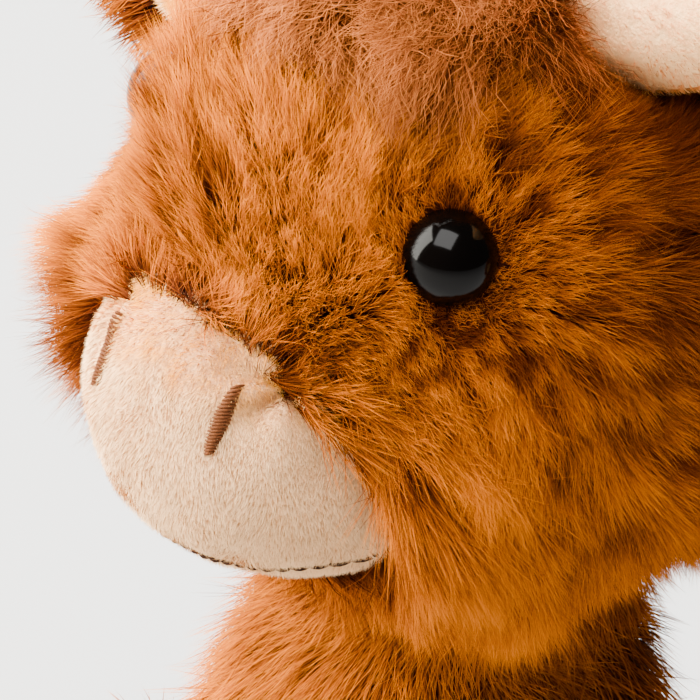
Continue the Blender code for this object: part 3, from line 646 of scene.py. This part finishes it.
def muzzle_shown(places):
    return (muzzle_proud(places) > 0.985).astype(float)


def muzzle_collar(places):
    share = muzzle_proud(places)
    return ((share > 0.92) & (share < 1.005)).astype(float)


def muzzle_flow(roots):
    """Short pile is brushed from the bridge down and to the cow's left."""
    flow = np.tile(np.array((0.35, -0.2, -1.0)), (len(roots), 1))
    for axis in range(3):
        flow[:, axis] += 0.45 * waves(roots, 9 * MM, 80 + axis)
    return flow


def make_muzzle():
    mesh = form_mesh("muzzle_skin", muzzle_form, 160, 110)
    add_stuffed("muzzle_skin", mesh, CREAM_SKIN, "head", "short_plush", "muzzle_cover")
    length = lambda roots: np.full(len(roots), 1.25 * MM)
    # Painted bounce light: the top of the muzzle's pile is tinted orange, as if lit by the orange fur above it, and the
    # lower muzzle is paler.
    painted_bounce_tint = lambda roots: 0.25 - 0.66 * smooth_step(roots[:, 2] - HEAD_CENTRE[2], -13 * MM, 1 * MM)
    pile("muzzle_pile", mesh, 60000, "head", "short_plush", CREAM, muzzle_flow, length, 0.088, muzzle_shown,
         lift=(62, 36), tuft=2.2, pull=0.35, levels=(0, 0.5), seed=11, bright=painted_bounce_tint, mottle=0.25)
    length = lambda roots: 8.5 * MM * (1 + 0.2 * waves(roots, 12 * MM, 75))
    pile("muzzle_edge_pile", mesh, 16000, "head", "fur", RUST, head_flow, length, 0.13, muzzle_collar,
         lift=(60, 22), seed=4, bright=head_painted_light)


def muzzle_point(across, height, outward):
    """A place on the front of the muzzle, given across it and up it."""
    semi = MUZZLE_SEMI
    forward = sqrt(max(0.0, 1 - (across / semi[0]) ** 2 - (height / semi[2]) ** 2))
    d = np.array(((across / semi[0], -forward, height / semi[2]),))
    place = muzzle_form(d)[0]
    normal = Matrix.Rotation(MUZZLE_PITCH, 3, "X") @ Vector(d[0] / semi).normalized()
    return Vector(place) + normal * outward, normal


def thread_mesh(name, stitches, radius):
    """Threads with rounded, pinched ends, each through its own few points."""
    curve = bpy.data.curves.new(name, "CURVE")
    curve.dimensions = "3D"
    curve.bevel_depth = radius
    curve.bevel_resolution = 2
    curve.use_fill_caps = True
    for points in stitches:
        line = curve.splines.new("POLY")
        line.points.add(len(points) - 1)
        for index, (knot, place) in enumerate(zip(line.points, points)):
            knot.co = (*place, 1)
            knot.radius = 0.35 + 0.65 * sin(pi * (0.12 + 0.76 * index / (len(points) - 1)))
    holder = bpy.data.objects.new(name, curve)
    bpy.context.scene.collection.objects.link(holder)
    mesh = bpy.data.meshes.new_from_object(holder.evaluated_get(bpy.context.evaluated_depsgraph_get()))
    bpy.data.objects.remove(holder)
    mesh.shade_smooth()
    return mesh


def make_nostril(word, side):
    """Satin stitches laid side by side across a slit, each arched over it."""
    stitches = []
    count = 20
    for index in range(count):
        share = index / (count - 1)
        height = (10.5 + 7.4 * (share - 0.5)) * MM
        middle = side * (10.3 + 0.5 * share) * MM
        half = 1.0 * MM * (0.40 + 0.60 * sin(pi * (0.08 + 0.84 * share)))
        slant = 0.22 * MM
        points = []
        for step in range(5):
            t = 2 * step / 4 - 1
            place, _ = muzzle_point(middle + half * t, height + slant * t, (0.42 + 0.45 * (1 - t * t)) * MM)
            points.append(place)
        stitches.append(points)
    name = "nostril_stitches_" + word
    add(name, thread_mesh(name, stitches, 0.25 * MM), COPPER, "head", "thread", "nostril_" + word)


def make_mouth():
    """A line of back stitches, a shallow smile low on the muzzle."""
    stitches = []
    count = 26
    for index in range(count):
        points = []
        for step in range(5):
            share = 2 * (index + (step - 0.15) / 4 * 1.12) / count - 1
            drop = (-14.0 + 1.6 * share * share) * MM
            dip = 0.30 + 0.28 * sin(pi * step / 4)
            place, _ = muzzle_point(21.5 * MM * share, drop, dip * MM)
            points.append(place)
        stitches.append(points)
    add("mouth_stitches", thread_mesh("mouth_stitches", stitches, 0.27 * MM), DARK_THREAD, "head", "thread",
        "mouth_stitch")


COPPER = thread_finish("copper_thread", (0.03, 0.008, 0.002), (0.15, 0.046, 0.014))
DARK_THREAD = thread_finish("dark_thread", (0.012, 0.004, 0.002), (0.045, 0.016, 0.006))
GLOSS = eye_finish()


def make_eye(word, side):
    """A polished dome with a rolled rim, seated in the pile."""
    profile = [(0.0, 5.0)]
    for step in range(1, 25):
        angle = pi / 2 * (1 - step / 24)
        profile.append((6.0 * cos(angle), 5.0 * sin(angle)))
    profile += [(5.95, -0.35), (5.7, -0.8), (2.2, -1.0), (2.0, -1.2), (2.0, -10.0), (1.2, -11.0), (0.0, -11.0)]
    line = bmesh.new()
    last = None
    for radius, height in profile:
        point = line.verts.new((radius * MM, 0, height * MM))
        if last is not None:
            line.edges.new((last, point))
        last = point
    bmesh.ops.spin(line, geom=line.verts[:] + line.edges[:], cent=(0, 0, 0), axis=(0, 0, 1),
                   angle=2 * pi, steps=72, use_merge=True)
    bmesh.ops.remove_doubles(line, verts=line.verts, dist=1e-6)
    bmesh.ops.recalc_face_normals(line, faces=line.faces)
    way = Vector((side * EYE_WAY.x, EYE_WAY.y, EYE_WAY.z))
    turn = way.to_track_quat("Z", "Y").to_matrix().to_4x4()
    bmesh.ops.transform(line, matrix=Matrix.Translation(HEAD_CENTRE + way * EYE_SEAT) @ turn, verts=line.verts)
    mesh = bpy.data.meshes.new("eye_dome_" + word)
    line.to_mesh(mesh)
    line.free()
    mesh.shade_smooth()
    add("eye_dome_" + word, mesh, GLOSS, "head", "eye_plastic", "eye_" + word)


def ring_frame(along):
    along = Vector(along).normalized()
    across = Vector((0, 1, 0)).cross(along).normalized()
    return np.array(across), np.array(along.cross(across))


def make_horn(word, side):
    """The stuffed horn: it tapers out and up, with slight gathers at its root and one seam."""
    def shape(d):
        out = np.zeros_like(d)
        for index, (x, y, z) in enumerate(d):
            share = (z + 1) / 2
            flat = sqrt(max(0.0, 1 - z * z))
            along = horn_line(side, share + 0.01) - horn_line(side, share - 0.01)
            first, second = ring_frame(along)
            radius = (13.5 + (8.0 - 13.5) * share - 0.7) * MM * flat ** 0.35
            angle = atan2(y, x)
            radius *= 1 + 0.030 * exp(-((share - 0.16) / 0.16) ** 2) * sin(9 * angle)
            radius -= 0.35 * MM * exp(-((angle - 2.2) / 0.10) ** 2)
            out[index] = np.array(horn_line(side, share)) + (first * cos(angle) + second * sin(angle)) * radius
        return out
    mesh = form_mesh("horn_skin_" + word, shape, 64, 48)
    add_stuffed("horn_skin_" + word, mesh, IVORY_SKIN, "head", "short_plush", "horn_" + word)
    root = np.array(horn_line(side, 0))
    flow = lambda roots: unit(roots - root) + 0.25 * np.stack([waves(roots, 8 * MM, 90 + k) for k in range(3)], 1)
    shown = lambda places: (np.linalg.norm(places - root, axis=1) > 8 * MM).astype(float)
    length = lambda roots: np.full(len(roots), 1.5 * MM)
    pale = lambda roots: np.full(len(roots), 0.25)
    pile("horn_pile_" + word, mesh, 17000, "head", "short_plush", IVORY, flow, length, 0.13, shown, bright=pale,
         lift=(50, 24), tuft=2.2, pull=0.35, levels=(0, 0.5), seed=13)


def make_forelock():
    """The frizzy tuft: a low cushion on the crown under a cloud of curled strands."""
    semi = np.array((18.5, 15.5, 11.0)) * MM
    middle = np.array(HEAD_CENTRE) + np.array((0, -12, 37.5)) * MM
    mesh = form_mesh("forelock_skin", lambda d: d * semi + middle, 64, 40)
    add_stuffed("forelock_skin", mesh, FRIZZ_SKIN, "head", "forelock_fur", "forelock")

    def shown(places):
        p = places - np.array(HEAD_CENTRE)
        return (np.linalg.norm(p / HEAD_SEMI, axis=1) > 0.90).astype(float)

    def flow(roots):
        out = roots - middle - np.array((0, 4, 16)) * MM
        way = unit(out) + np.array((0, -0.35, -0.2))
        for axis in range(3):
            way[:, axis] += 0.9 * waves(roots, 9 * MM, 100 + axis)
        return way

    length = lambda roots: (9.5 + 5 * smooth_step(np.abs(roots[:, 0]), 7 * MM, 17 * MM)) * MM * (1 + 0.25 * waves(roots, 10 * MM, 104))
    pile("forelock_pile", mesh, 19500, "head", "forelock_fur", FRIZZ, flow, length, 0.13, shown,
         lift=(62, 28), tuft=5.0, pull=0.9, levels=(0, 0.25, 0.5, 0.75), seed=17, curl=(0.9, 1.5))


def body_form(d):
    """The pear of the body under its pile, as in the solids."""
    half_height = 60.5 * MM
    level = 55.5 * MM + d[:, 2] * (half_height - SKIN_DEPTH)
    waist = 1 + (0.76 - 1) * smooth_step(level / (116 * MM), 0.25, 0.80)
    flat = np.sqrt(np.maximum(0, 1 - d[:, 2] ** 2))
    ease = np.maximum(flat, 1e-9) ** (0.48 - 1)
    out = np.zeros_like(d)
    out[:, 0] = d[:, 0] * ease * (42 * MM * waist - SKIN_DEPTH)
    out[:, 1] = 8 * MM + d[:, 1] * ease * (40 * MM * waist - SKIN_DEPTH)
    out[:, 2] = np.maximum(level, 1.8 * MM)
    return out


def fall(roots):
    """Pile that hangs: down the form, stirred a little."""
    flow = np.tile(np.array((0.0, -0.12, -1.0)), (len(roots), 1))
    shoulder = smooth_step(roots[:, 2], 46 * MM, 80 * MM) * smooth_step(np.abs(roots[:, 0]), 18 * MM, 32 * MM)
    flow[:, 0] += 0.9 * np.sign(roots[:, 0]) * shoulder
    for axis in range(3):
        flow[:, axis] += 0.38 * waves(roots, 18 * MM, 110 + axis) + 0.18 * waves(roots, 7 * MM, 120 + axis)
    return flow


def body_open(places):
    """Pile stops short of the floor."""
    grows = (places[:, 2] > 5 * MM).astype(float)
    return grows


def body_length(roots):
    """Short at the seat, full on the breast under the chin."""
    breast = smooth_step(roots[:, 2], 50 * MM, 84 * MM) * smooth_step(-roots[:, 1], 0, 20 * MM)
    shoulder = smooth_step(roots[:, 2], 46 * MM, 80 * MM) * smooth_step(np.abs(roots[:, 0]), 18 * MM, 32 * MM)
    return (11.0 + 5.0 * breast + 5.0 * shoulder) * MM * smooth_step(roots[:, 2], -14 * MM, 26 * MM)


def chest_painted_light(roots):
    """Painted light on the breast: its front and upper pile painted lighter, as if lit beneath the chin."""
    return 0.75 * smooth_step(-roots[:, 1], -14 * MM, 8 * MM) * smooth_step(roots[:, 2], 30 * MM, 70 * MM)


def make_body():
    mesh = form_mesh("body_skin", body_form, 96, 64)
    add_stuffed("body_skin", mesh, RUST_SKIN, "body", "fur", "body_cover")
    low = np.array((0, 8, 30)) * MM
    length = lambda roots: body_length(roots) * (1 + 0.15 * waves(roots, 14 * MM, 61))
    front = lambda places: body_open(places) * (places[:, 1] < low[1])
    back = lambda places: body_open(places) * (places[:, 1] >= low[1])
    pile("chest_pile", mesh, 54000, "body", "fur", RUST, fall, length, 0.18, front, lift=(58, 16), seed=21,
         bright=chest_painted_light, curl=(0.30, 0.6))
    pile("back_pile", mesh, 26000, "body", "fur", RUST, fall, length, 0.30, back, lift=(58, 16), seed=22)
    ball = NECK_PLACE
    neck = form_mesh("neck_skin", lambda d: d * (22 * MM - SKIN_DEPTH) + ball, 48, 32)
    add("neck_skin", neck, RUST_SKIN, "body", "fur")
    under = lambda places: (places[:, 2] < 123 * MM).astype(float)
    short = lambda roots: np.full(len(roots), 10 * MM)
    pile("neck_pile", neck, 6000, "body", "fur", RUST, fall, short, 0.25, under, lift=(66, 30), seed=23)
    round_thread = form_mesh("neck_collar", lambda d: d * 23.5 * MM + ball, 48, 32)
    band = lambda places: ((places[:, 2] > 112.5 * MM) & (places[:, 2] < 118 * MM)).astype(float)
    pile("neck_collar_pile", round_thread, 6000, "body", "fur", RUST, fall, short, 0.25, band, lift=(35, 10), seed=24)


NECK_PLACE = np.array((0, 8, 104)) * MM


def limb_form(frame_matrix, length, root_radius, foot_radius, inset, share_range=(0, 1)):
    """A stuffed limb along +Z of its frame, a little wider at the foot."""
    turn = np.array(frame_matrix.to_3x3())
    origin = np.array(frame_matrix.translation)

    def shape(d):
        share = smooth_step((d[:, 2] + 1) / 2, 0, 1)
        radius = root_radius + (foot_radius - root_radius) * share - inset
        local = np.stack((d[:, 0] * radius, d[:, 1] * radius, length * share + d[:, 2] * radius), axis=1)
        return local @ turn.T + origin
    return shape


def frame_of(origin, along, up):
    axis_z = Vector(along).normalized()
    axis_x = Vector(up).cross(axis_z).normalized()
    turn = Matrix((axis_x, axis_z.cross(axis_x), axis_z)).transposed().to_4x4()
    return Matrix.Translation(origin) @ turn


def arm_frame(side):
    tilt, turn, pitch = radians(16), radians(32), radians(28)
    normal = Vector((side * sin(turn) * cos(tilt), -cos(turn) * cos(tilt), sin(tilt)))
    centre = Vector((side * 18.11, -19.60, 69.95)) * MM
    return centre, normal, Vector((0, -sin(pitch), -cos(pitch)))


def leg_frame(side):
    splay = radians(12)
    return Vector((side * 37.5 * MM, -4 * MM, 19.3 * MM)), Vector((side, 0, 0)), Vector((side * sin(splay), -cos(splay), 0))


def make_leg(name, body, placed, length, root_radius, foot_radius, seat_share, count):
    """A stuffed leg: pile that falls towards the hoof, and a short-pile hoof with a sewn edge."""
    centre, normal, along = placed
    origin = centre + normal * root_radius * seat_share
    matrix = frame_of(origin, along, normal)
    top = length + foot_radius - 15 * MM
    axis = np.array(along)
    start = np.array(origin)

    def level(places):
        return (places - start) @ axis

    def outside(places):
        return ((places - np.array(centre)) @ np.array(normal)) > 1.2 * MM

    def clipped(mesh, low, high):
        shell = bmesh.new()
        shell.from_mesh(mesh)
        if low is not None:
            bmesh.ops.bisect_plane(shell, geom=shell.verts[:] + shell.edges[:] + shell.faces[:], dist=1e-7,
                                   plane_co=start + axis * low, plane_no=axis, clear_inner=True)
        if high is not None:
            bmesh.ops.bisect_plane(shell, geom=shell.verts[:] + shell.edges[:] + shell.faces[:], dist=1e-7,
                                   plane_co=start + axis * high, plane_no=axis, clear_outer=True)
        bmesh.ops.bisect_plane(shell, geom=shell.verts[:] + shell.edges[:] + shell.faces[:], dist=1e-7,
                               plane_co=np.array(centre) + np.array(normal) * 0.4 * MM, plane_no=normal, clear_inner=True)
        bmesh.ops.holes_fill(shell, edges=[edge for edge in shell.edges if edge.is_boundary], sides=0)
        shell.to_mesh(mesh)
        shell.free()
        mesh.shade_smooth()
        return mesh

    furry = clipped(form_mesh(name + "_skin", limb_form(matrix, length, root_radius, foot_radius, 2.6 * MM), 48, 40),
                    None, top + 1 * MM)
    add_stuffed(name + "_skin", furry, RUST_SKIN, body, "fur", name)
    toe = clipped(form_mesh(name + "_hoof_skin", limb_form(matrix, length, root_radius, foot_radius, 0.6 * MM), 48, 40),
                  top, None)
    add(name + "_hoof_skin", toe, BROWN_SKIN, body, "hoof_plush", name + "_hoof")

    def flow(roots):
        way = np.tile(axis + np.array((0, 0, -0.35)), (len(roots), 1))
        for k in range(3):
            way[:, k] += 0.30 * waves(roots, 14 * MM, 130 + k)
        return way

    grows = lambda places: outside(places) * (level(places) < top - 0.5 * MM)
    length_of = lambda roots: 8.5 * MM * (0.55 + 0.45 * smooth_step(top - level(roots), 0, 12 * MM)) \
        * (0.35 + 0.65 * smooth_step(roots[:, 2], 2 * MM, 14 * MM))
    pile(name + "_pile", furry, count, body, "fur", RUST, flow, length_of, 0.26, grows, lift=(56, 18), seed=31)
    nap = lambda roots: np.full(len(roots), 1.4 * MM)
    down = lambda roots: np.tile(axis + np.array((0.1, 0, -0.4)), (len(roots), 1))
    toe_grows = lambda places: outside(places) * (level(places) > top + 0.2 * MM) * (places[:, 2] > 1.4 * MM)
    pile(name + "_hoof_pile", toe, 6600, body, "hoof_plush", BROWN, down, nap, 0.16, toe_grows,
         lift=(50, 26), tuft=2.0, pull=0.3, levels=(0, 0.5), seed=32)


def make_legs():
    for word, side in SIDES.items():
        front, hind = "front_leg_" + word, "hind_leg_" + word
        make_leg(front, front, arm_frame(side), 66.06 * MM, 12 * MM, 13.2 * MM, 0.72, 14000)
        make_leg(hind, hind, leg_frame(side), 50 * MM, 17 * MM, 18.5 * MM, 0.72, 14000)


def ear_leaf(side, share, front):
    droop = radians(12)
    along = np.array((side * cos(droop), 0, -sin(droop)))
    up = np.array((side * sin(droop), 0, cos(droop)))
    pivot = np.array((side * 40.2, 16.5, 170)) * MM

    def shape(d):
        reach = (1 + d[:, 2]) / 2
        flare = 0.3 + 0.7 * smooth_step(reach, 0, 0.5)
        away = along * (46 * MM * ((1 - share) / 2 + share * reach))[:, None]
        rise = up * (d[:, 0] * flare * 13 * MM * share)[:, None]
        deep = np.zeros_like(d)
        deep[:, 1] = d[:, 1] * flare * 3 * MM * share - front
        deep[:, 1] += 1.2 * MM * np.abs(d[:, 0]) ** 2 * -flare
        return pivot + away + rise + deep
    return shape


def make_ear(word, side):
    """A leaf with shaggy pile on its back and rim, and a pale lining in front."""
    body = "ear_" + word
    droop = radians(12)
    along = np.array((side * cos(droop), 0, -sin(droop)))
    up = np.array((side * sin(droop), 0, cos(droop)))
    pivot = np.array((side * 40.2, 16.5, 170)) * MM
    back = form_mesh("ear_skin_" + word, ear_leaf(side, 0.95, 0), 40, 32)
    add("ear_skin_" + word, back, RUST_SKIN, body, "fur", "ear_" + word)
    lining = form_mesh("ear_lining_skin_" + word, ear_leaf(side, 0.56, 1.5 * MM), 40, 32)
    add("ear_lining_skin_" + word, lining, CREAM_SKIN, body, "lining", "ear_lining_" + word)

    def leaf_share(places):
        p = places - pivot
        return np.hypot((p @ up) / (13 * MM), (p @ along - 23 * MM) / (23 * MM))

    def flow(roots):
        p = roots - pivot
        way = along + up * (0.8 * (p @ up) / (13 * MM))[:, None] + np.array((0, 0, -0.25))
        for k in range(3):
            way[:, k] += 0.25 * waves(roots, 10 * MM, 140 + k)
        return way

    furry = lambda places: ((places[:, 1] > pivot[1] - 0.6 * MM) | (leaf_share(places) > 0.56)).astype(float)
    long = lambda roots: 8 * MM * (0.5 + 0.5 * smooth_step(leaf_share(roots), 0.2, 0.9))
    pile("ear_pile_" + word, back, 9000, body, "fur", RUST, flow, long, 0.22, furry, lift=(48, 14), seed=41)
    nap = lambda roots: np.full(len(roots), 1.8 * MM)
    facing = lambda places: (places[:, 1] < pivot[1] - 1.0 * MM).astype(float)
    pile("ear_lining_pile_" + word, lining, 7000, body, "lining", CREAM, flow, nap, 0.14, facing,
         lift=(46, 22), tuft=2.2, pull=0.3, levels=(0, 0.5), seed=42)


def make_tail():
    """A thin cord of plush that leaves the seat's back and ends in a long tuft."""
    root = np.array((0, 48, 30)) * MM

    def line(share):
        return root + np.array((0, 46 * share, -12 * share * share)) * MM

    def shape(d):
        share = (d[:, 2] + 1) / 2
        middle = root + np.stack((0 * share, 46 * share, -12 * share ** 2), axis=1) * MM
        flat = np.sqrt(np.maximum(0, 1 - d[:, 2] ** 2)) ** 0.4
        ring = unit(np.stack((d[:, 0], 0.3 * d[:, 1], d[:, 1]), axis=1) + 1e-9) * (2.6 * MM * flat)[:, None]
        return middle + ring

    mesh = form_mesh("tail_skin", shape, 20, 40)
    add("tail_skin", mesh, RUST_SKIN, "tail", "fur", "tail")
    way = unit(line(1.0) - line(0.9))
    flow = lambda roots: np.tile(way + np.array((0, 0, -0.2)), (len(roots), 1)) + 0.15 * RNG.normal(size=roots.shape)
    length = lambda roots: np.full(len(roots), 6 * MM)
    pile("tail_pile", mesh, 6000, "tail", "fur", RUST, flow, length, 0.2, None, lift=(45, 12), seed=51)
    middle = line(1.0) + way * 13 * MM
    tuft = form_mesh("tail_tuft_skin", lambda d: middle + d * np.array((6.0, 8.5, 6.5)) * MM, 28, 20)
    add_stuffed("tail_tuft_skin", tuft, FRIZZ_SKIN, "tail", "forelock_fur", "tail_tuft")
    long = lambda roots: np.full(len(roots), 11 * MM)
    pile("tail_tuft_pile", tuft, 6000, "tail", "forelock_fur", FRIZZ, flow, long, 0.18, None,
         lift=(40, 16), tuft=4.0, pull=0.5, levels=(0, 0.25, 0.5, 0.75), seed=52, curl=(0.6, 1.2))


def finish_inner_pieces():
    """The pieces inside the covers keep their solids and get their own cloth and plastic."""
    fibre = filling_finish("fibre_filling", (0.86, 0.86, 0.83))
    pouch = filling_finish("pellet_cloth", (0.72, 0.71, 0.68))
    white = Finish("washer_plastic", Roughness=0.45)
    white.feed(Base_Color=white.ramp(white.noise(400.0), (0.3, grey(0.75)), (0.7, grey(0.82))))
    panel = skin_finish("seat_cloth", (0.14, 0.045, 0.012), (0.22, 0.075, 0.02), 1400.0)
    rust_thread = thread_finish("rust_thread", (0.05, 0.010, 0.001), (0.13, 0.028, 0.003))
    named = {"filling": fibre, "pellet": pouch, "washer": white.material, "seat_panel": panel, "neck_thread": rust_thread}
    for node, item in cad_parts.items():
        for word, material in named.items():
            if word in node:
                item.data.materials.clear()
                item.data.materials.append(material)


def make_stage():
    floor = bmesh.new()
    bmesh.ops.create_grid(floor, x_segments=1, y_segments=1, size=6.0)
    mesh = bpy.data.meshes.new("floor")
    floor.to_mesh(mesh)
    floor.free()
    mesh.materials.append(floor_finish())
    piece = bpy.data.objects.new("floor", mesh)
    bpy.context.scene.collection.objects.link(piece)


def view_axes():
    a, e = radians(VIEW_AZIMUTH), radians(VIEW_ELEVATION)
    right = Vector((cos(a), sin(a), 0))
    up = Vector((-sin(a) * sin(e), cos(a) * sin(e), cos(e)))
    back = Vector((sin(a) * cos(e), -cos(a) * cos(e), sin(e)))
    return right, up, back


def soft_light(name, direction, distance, size, power, colour=(1, 1, 1)):
    data = bpy.data.lights.new(name, "AREA")
    data.shape = "SQUARE"
    data.size = size
    data.energy = power
    data.color = colour
    lamp = bpy.data.objects.new(name, data)
    bpy.context.scene.collection.objects.link(lamp)
    way = Vector(direction).normalized()
    lamp.location = HEAD_CENTRE + way * distance
    lamp.rotation_mode = "QUATERNION"
    lamp.rotation_quaternion = way.to_track_quat("Z", "Y")


def make_light():
    right, up, back = view_axes()
    soft_light("softbox", back * 0.82 + up * 0.55 - right * 0.20, 0.9, 0.60, 20.0, (1.0, 0.985, 0.96))
    soft_light("key", -right * 0.88 + up * 0.40 + back * 0.10, 1.4, 1.5, 235.0, (1.0, 0.97, 0.88))
    soft_light("overhead", up * 0.95 - right * 0.28 - back * 0.05, 1.1, 0.7, 66.0, (1.0, 0.97, 0.91))
    world = bpy.data.worlds.new("studio")
    bpy.context.scene.world = world
    world.use_nodes = True
    backdrop = world.node_tree.nodes["Background"]
    backdrop.inputs["Color"].default_value = (1.0, 1.0, 1.0, 1)
    backdrop.inputs["Strength"].default_value = 0.14


def make_camera():
    right, up, back = view_axes()
    data = bpy.data.cameras.new("camera")
    data.sensor_width = SENSOR
    data.lens = SENSOR * VIEW_DISTANCE / FRAME_WIDTH
    data.clip_start = 0.01
    camera = bpy.data.objects.new("camera", data)
    bpy.context.scene.collection.objects.link(camera)
    target = HEAD_CENTRE - right * HEAD_RIGHT_OF_FRAME - up * HEAD_ABOVE_FRAME + back * EYE_DEPTH
    roll = radians(VIEW_ROLL)
    camera_right = right * cos(roll) + up * sin(roll)
    camera_up = up * cos(roll) - right * sin(roll)
    turn = Matrix((camera_right, camera_up, back)).transposed().to_4x4()
    camera.matrix_world = Matrix.Translation(target + back * VIEW_DISTANCE) @ turn
    bpy.context.scene.camera = camera


make_camera()
make_light()
make_stage()
make_head()
make_muzzle()
make_mouth()
make_forelock()
for word, side in SIDES.items():
    make_eye(word, side)
    make_nostril(word, side)
    make_horn(word, side)
    make_ear(word, side)
make_body()
make_legs()
make_tail()
finish_inner_pieces()
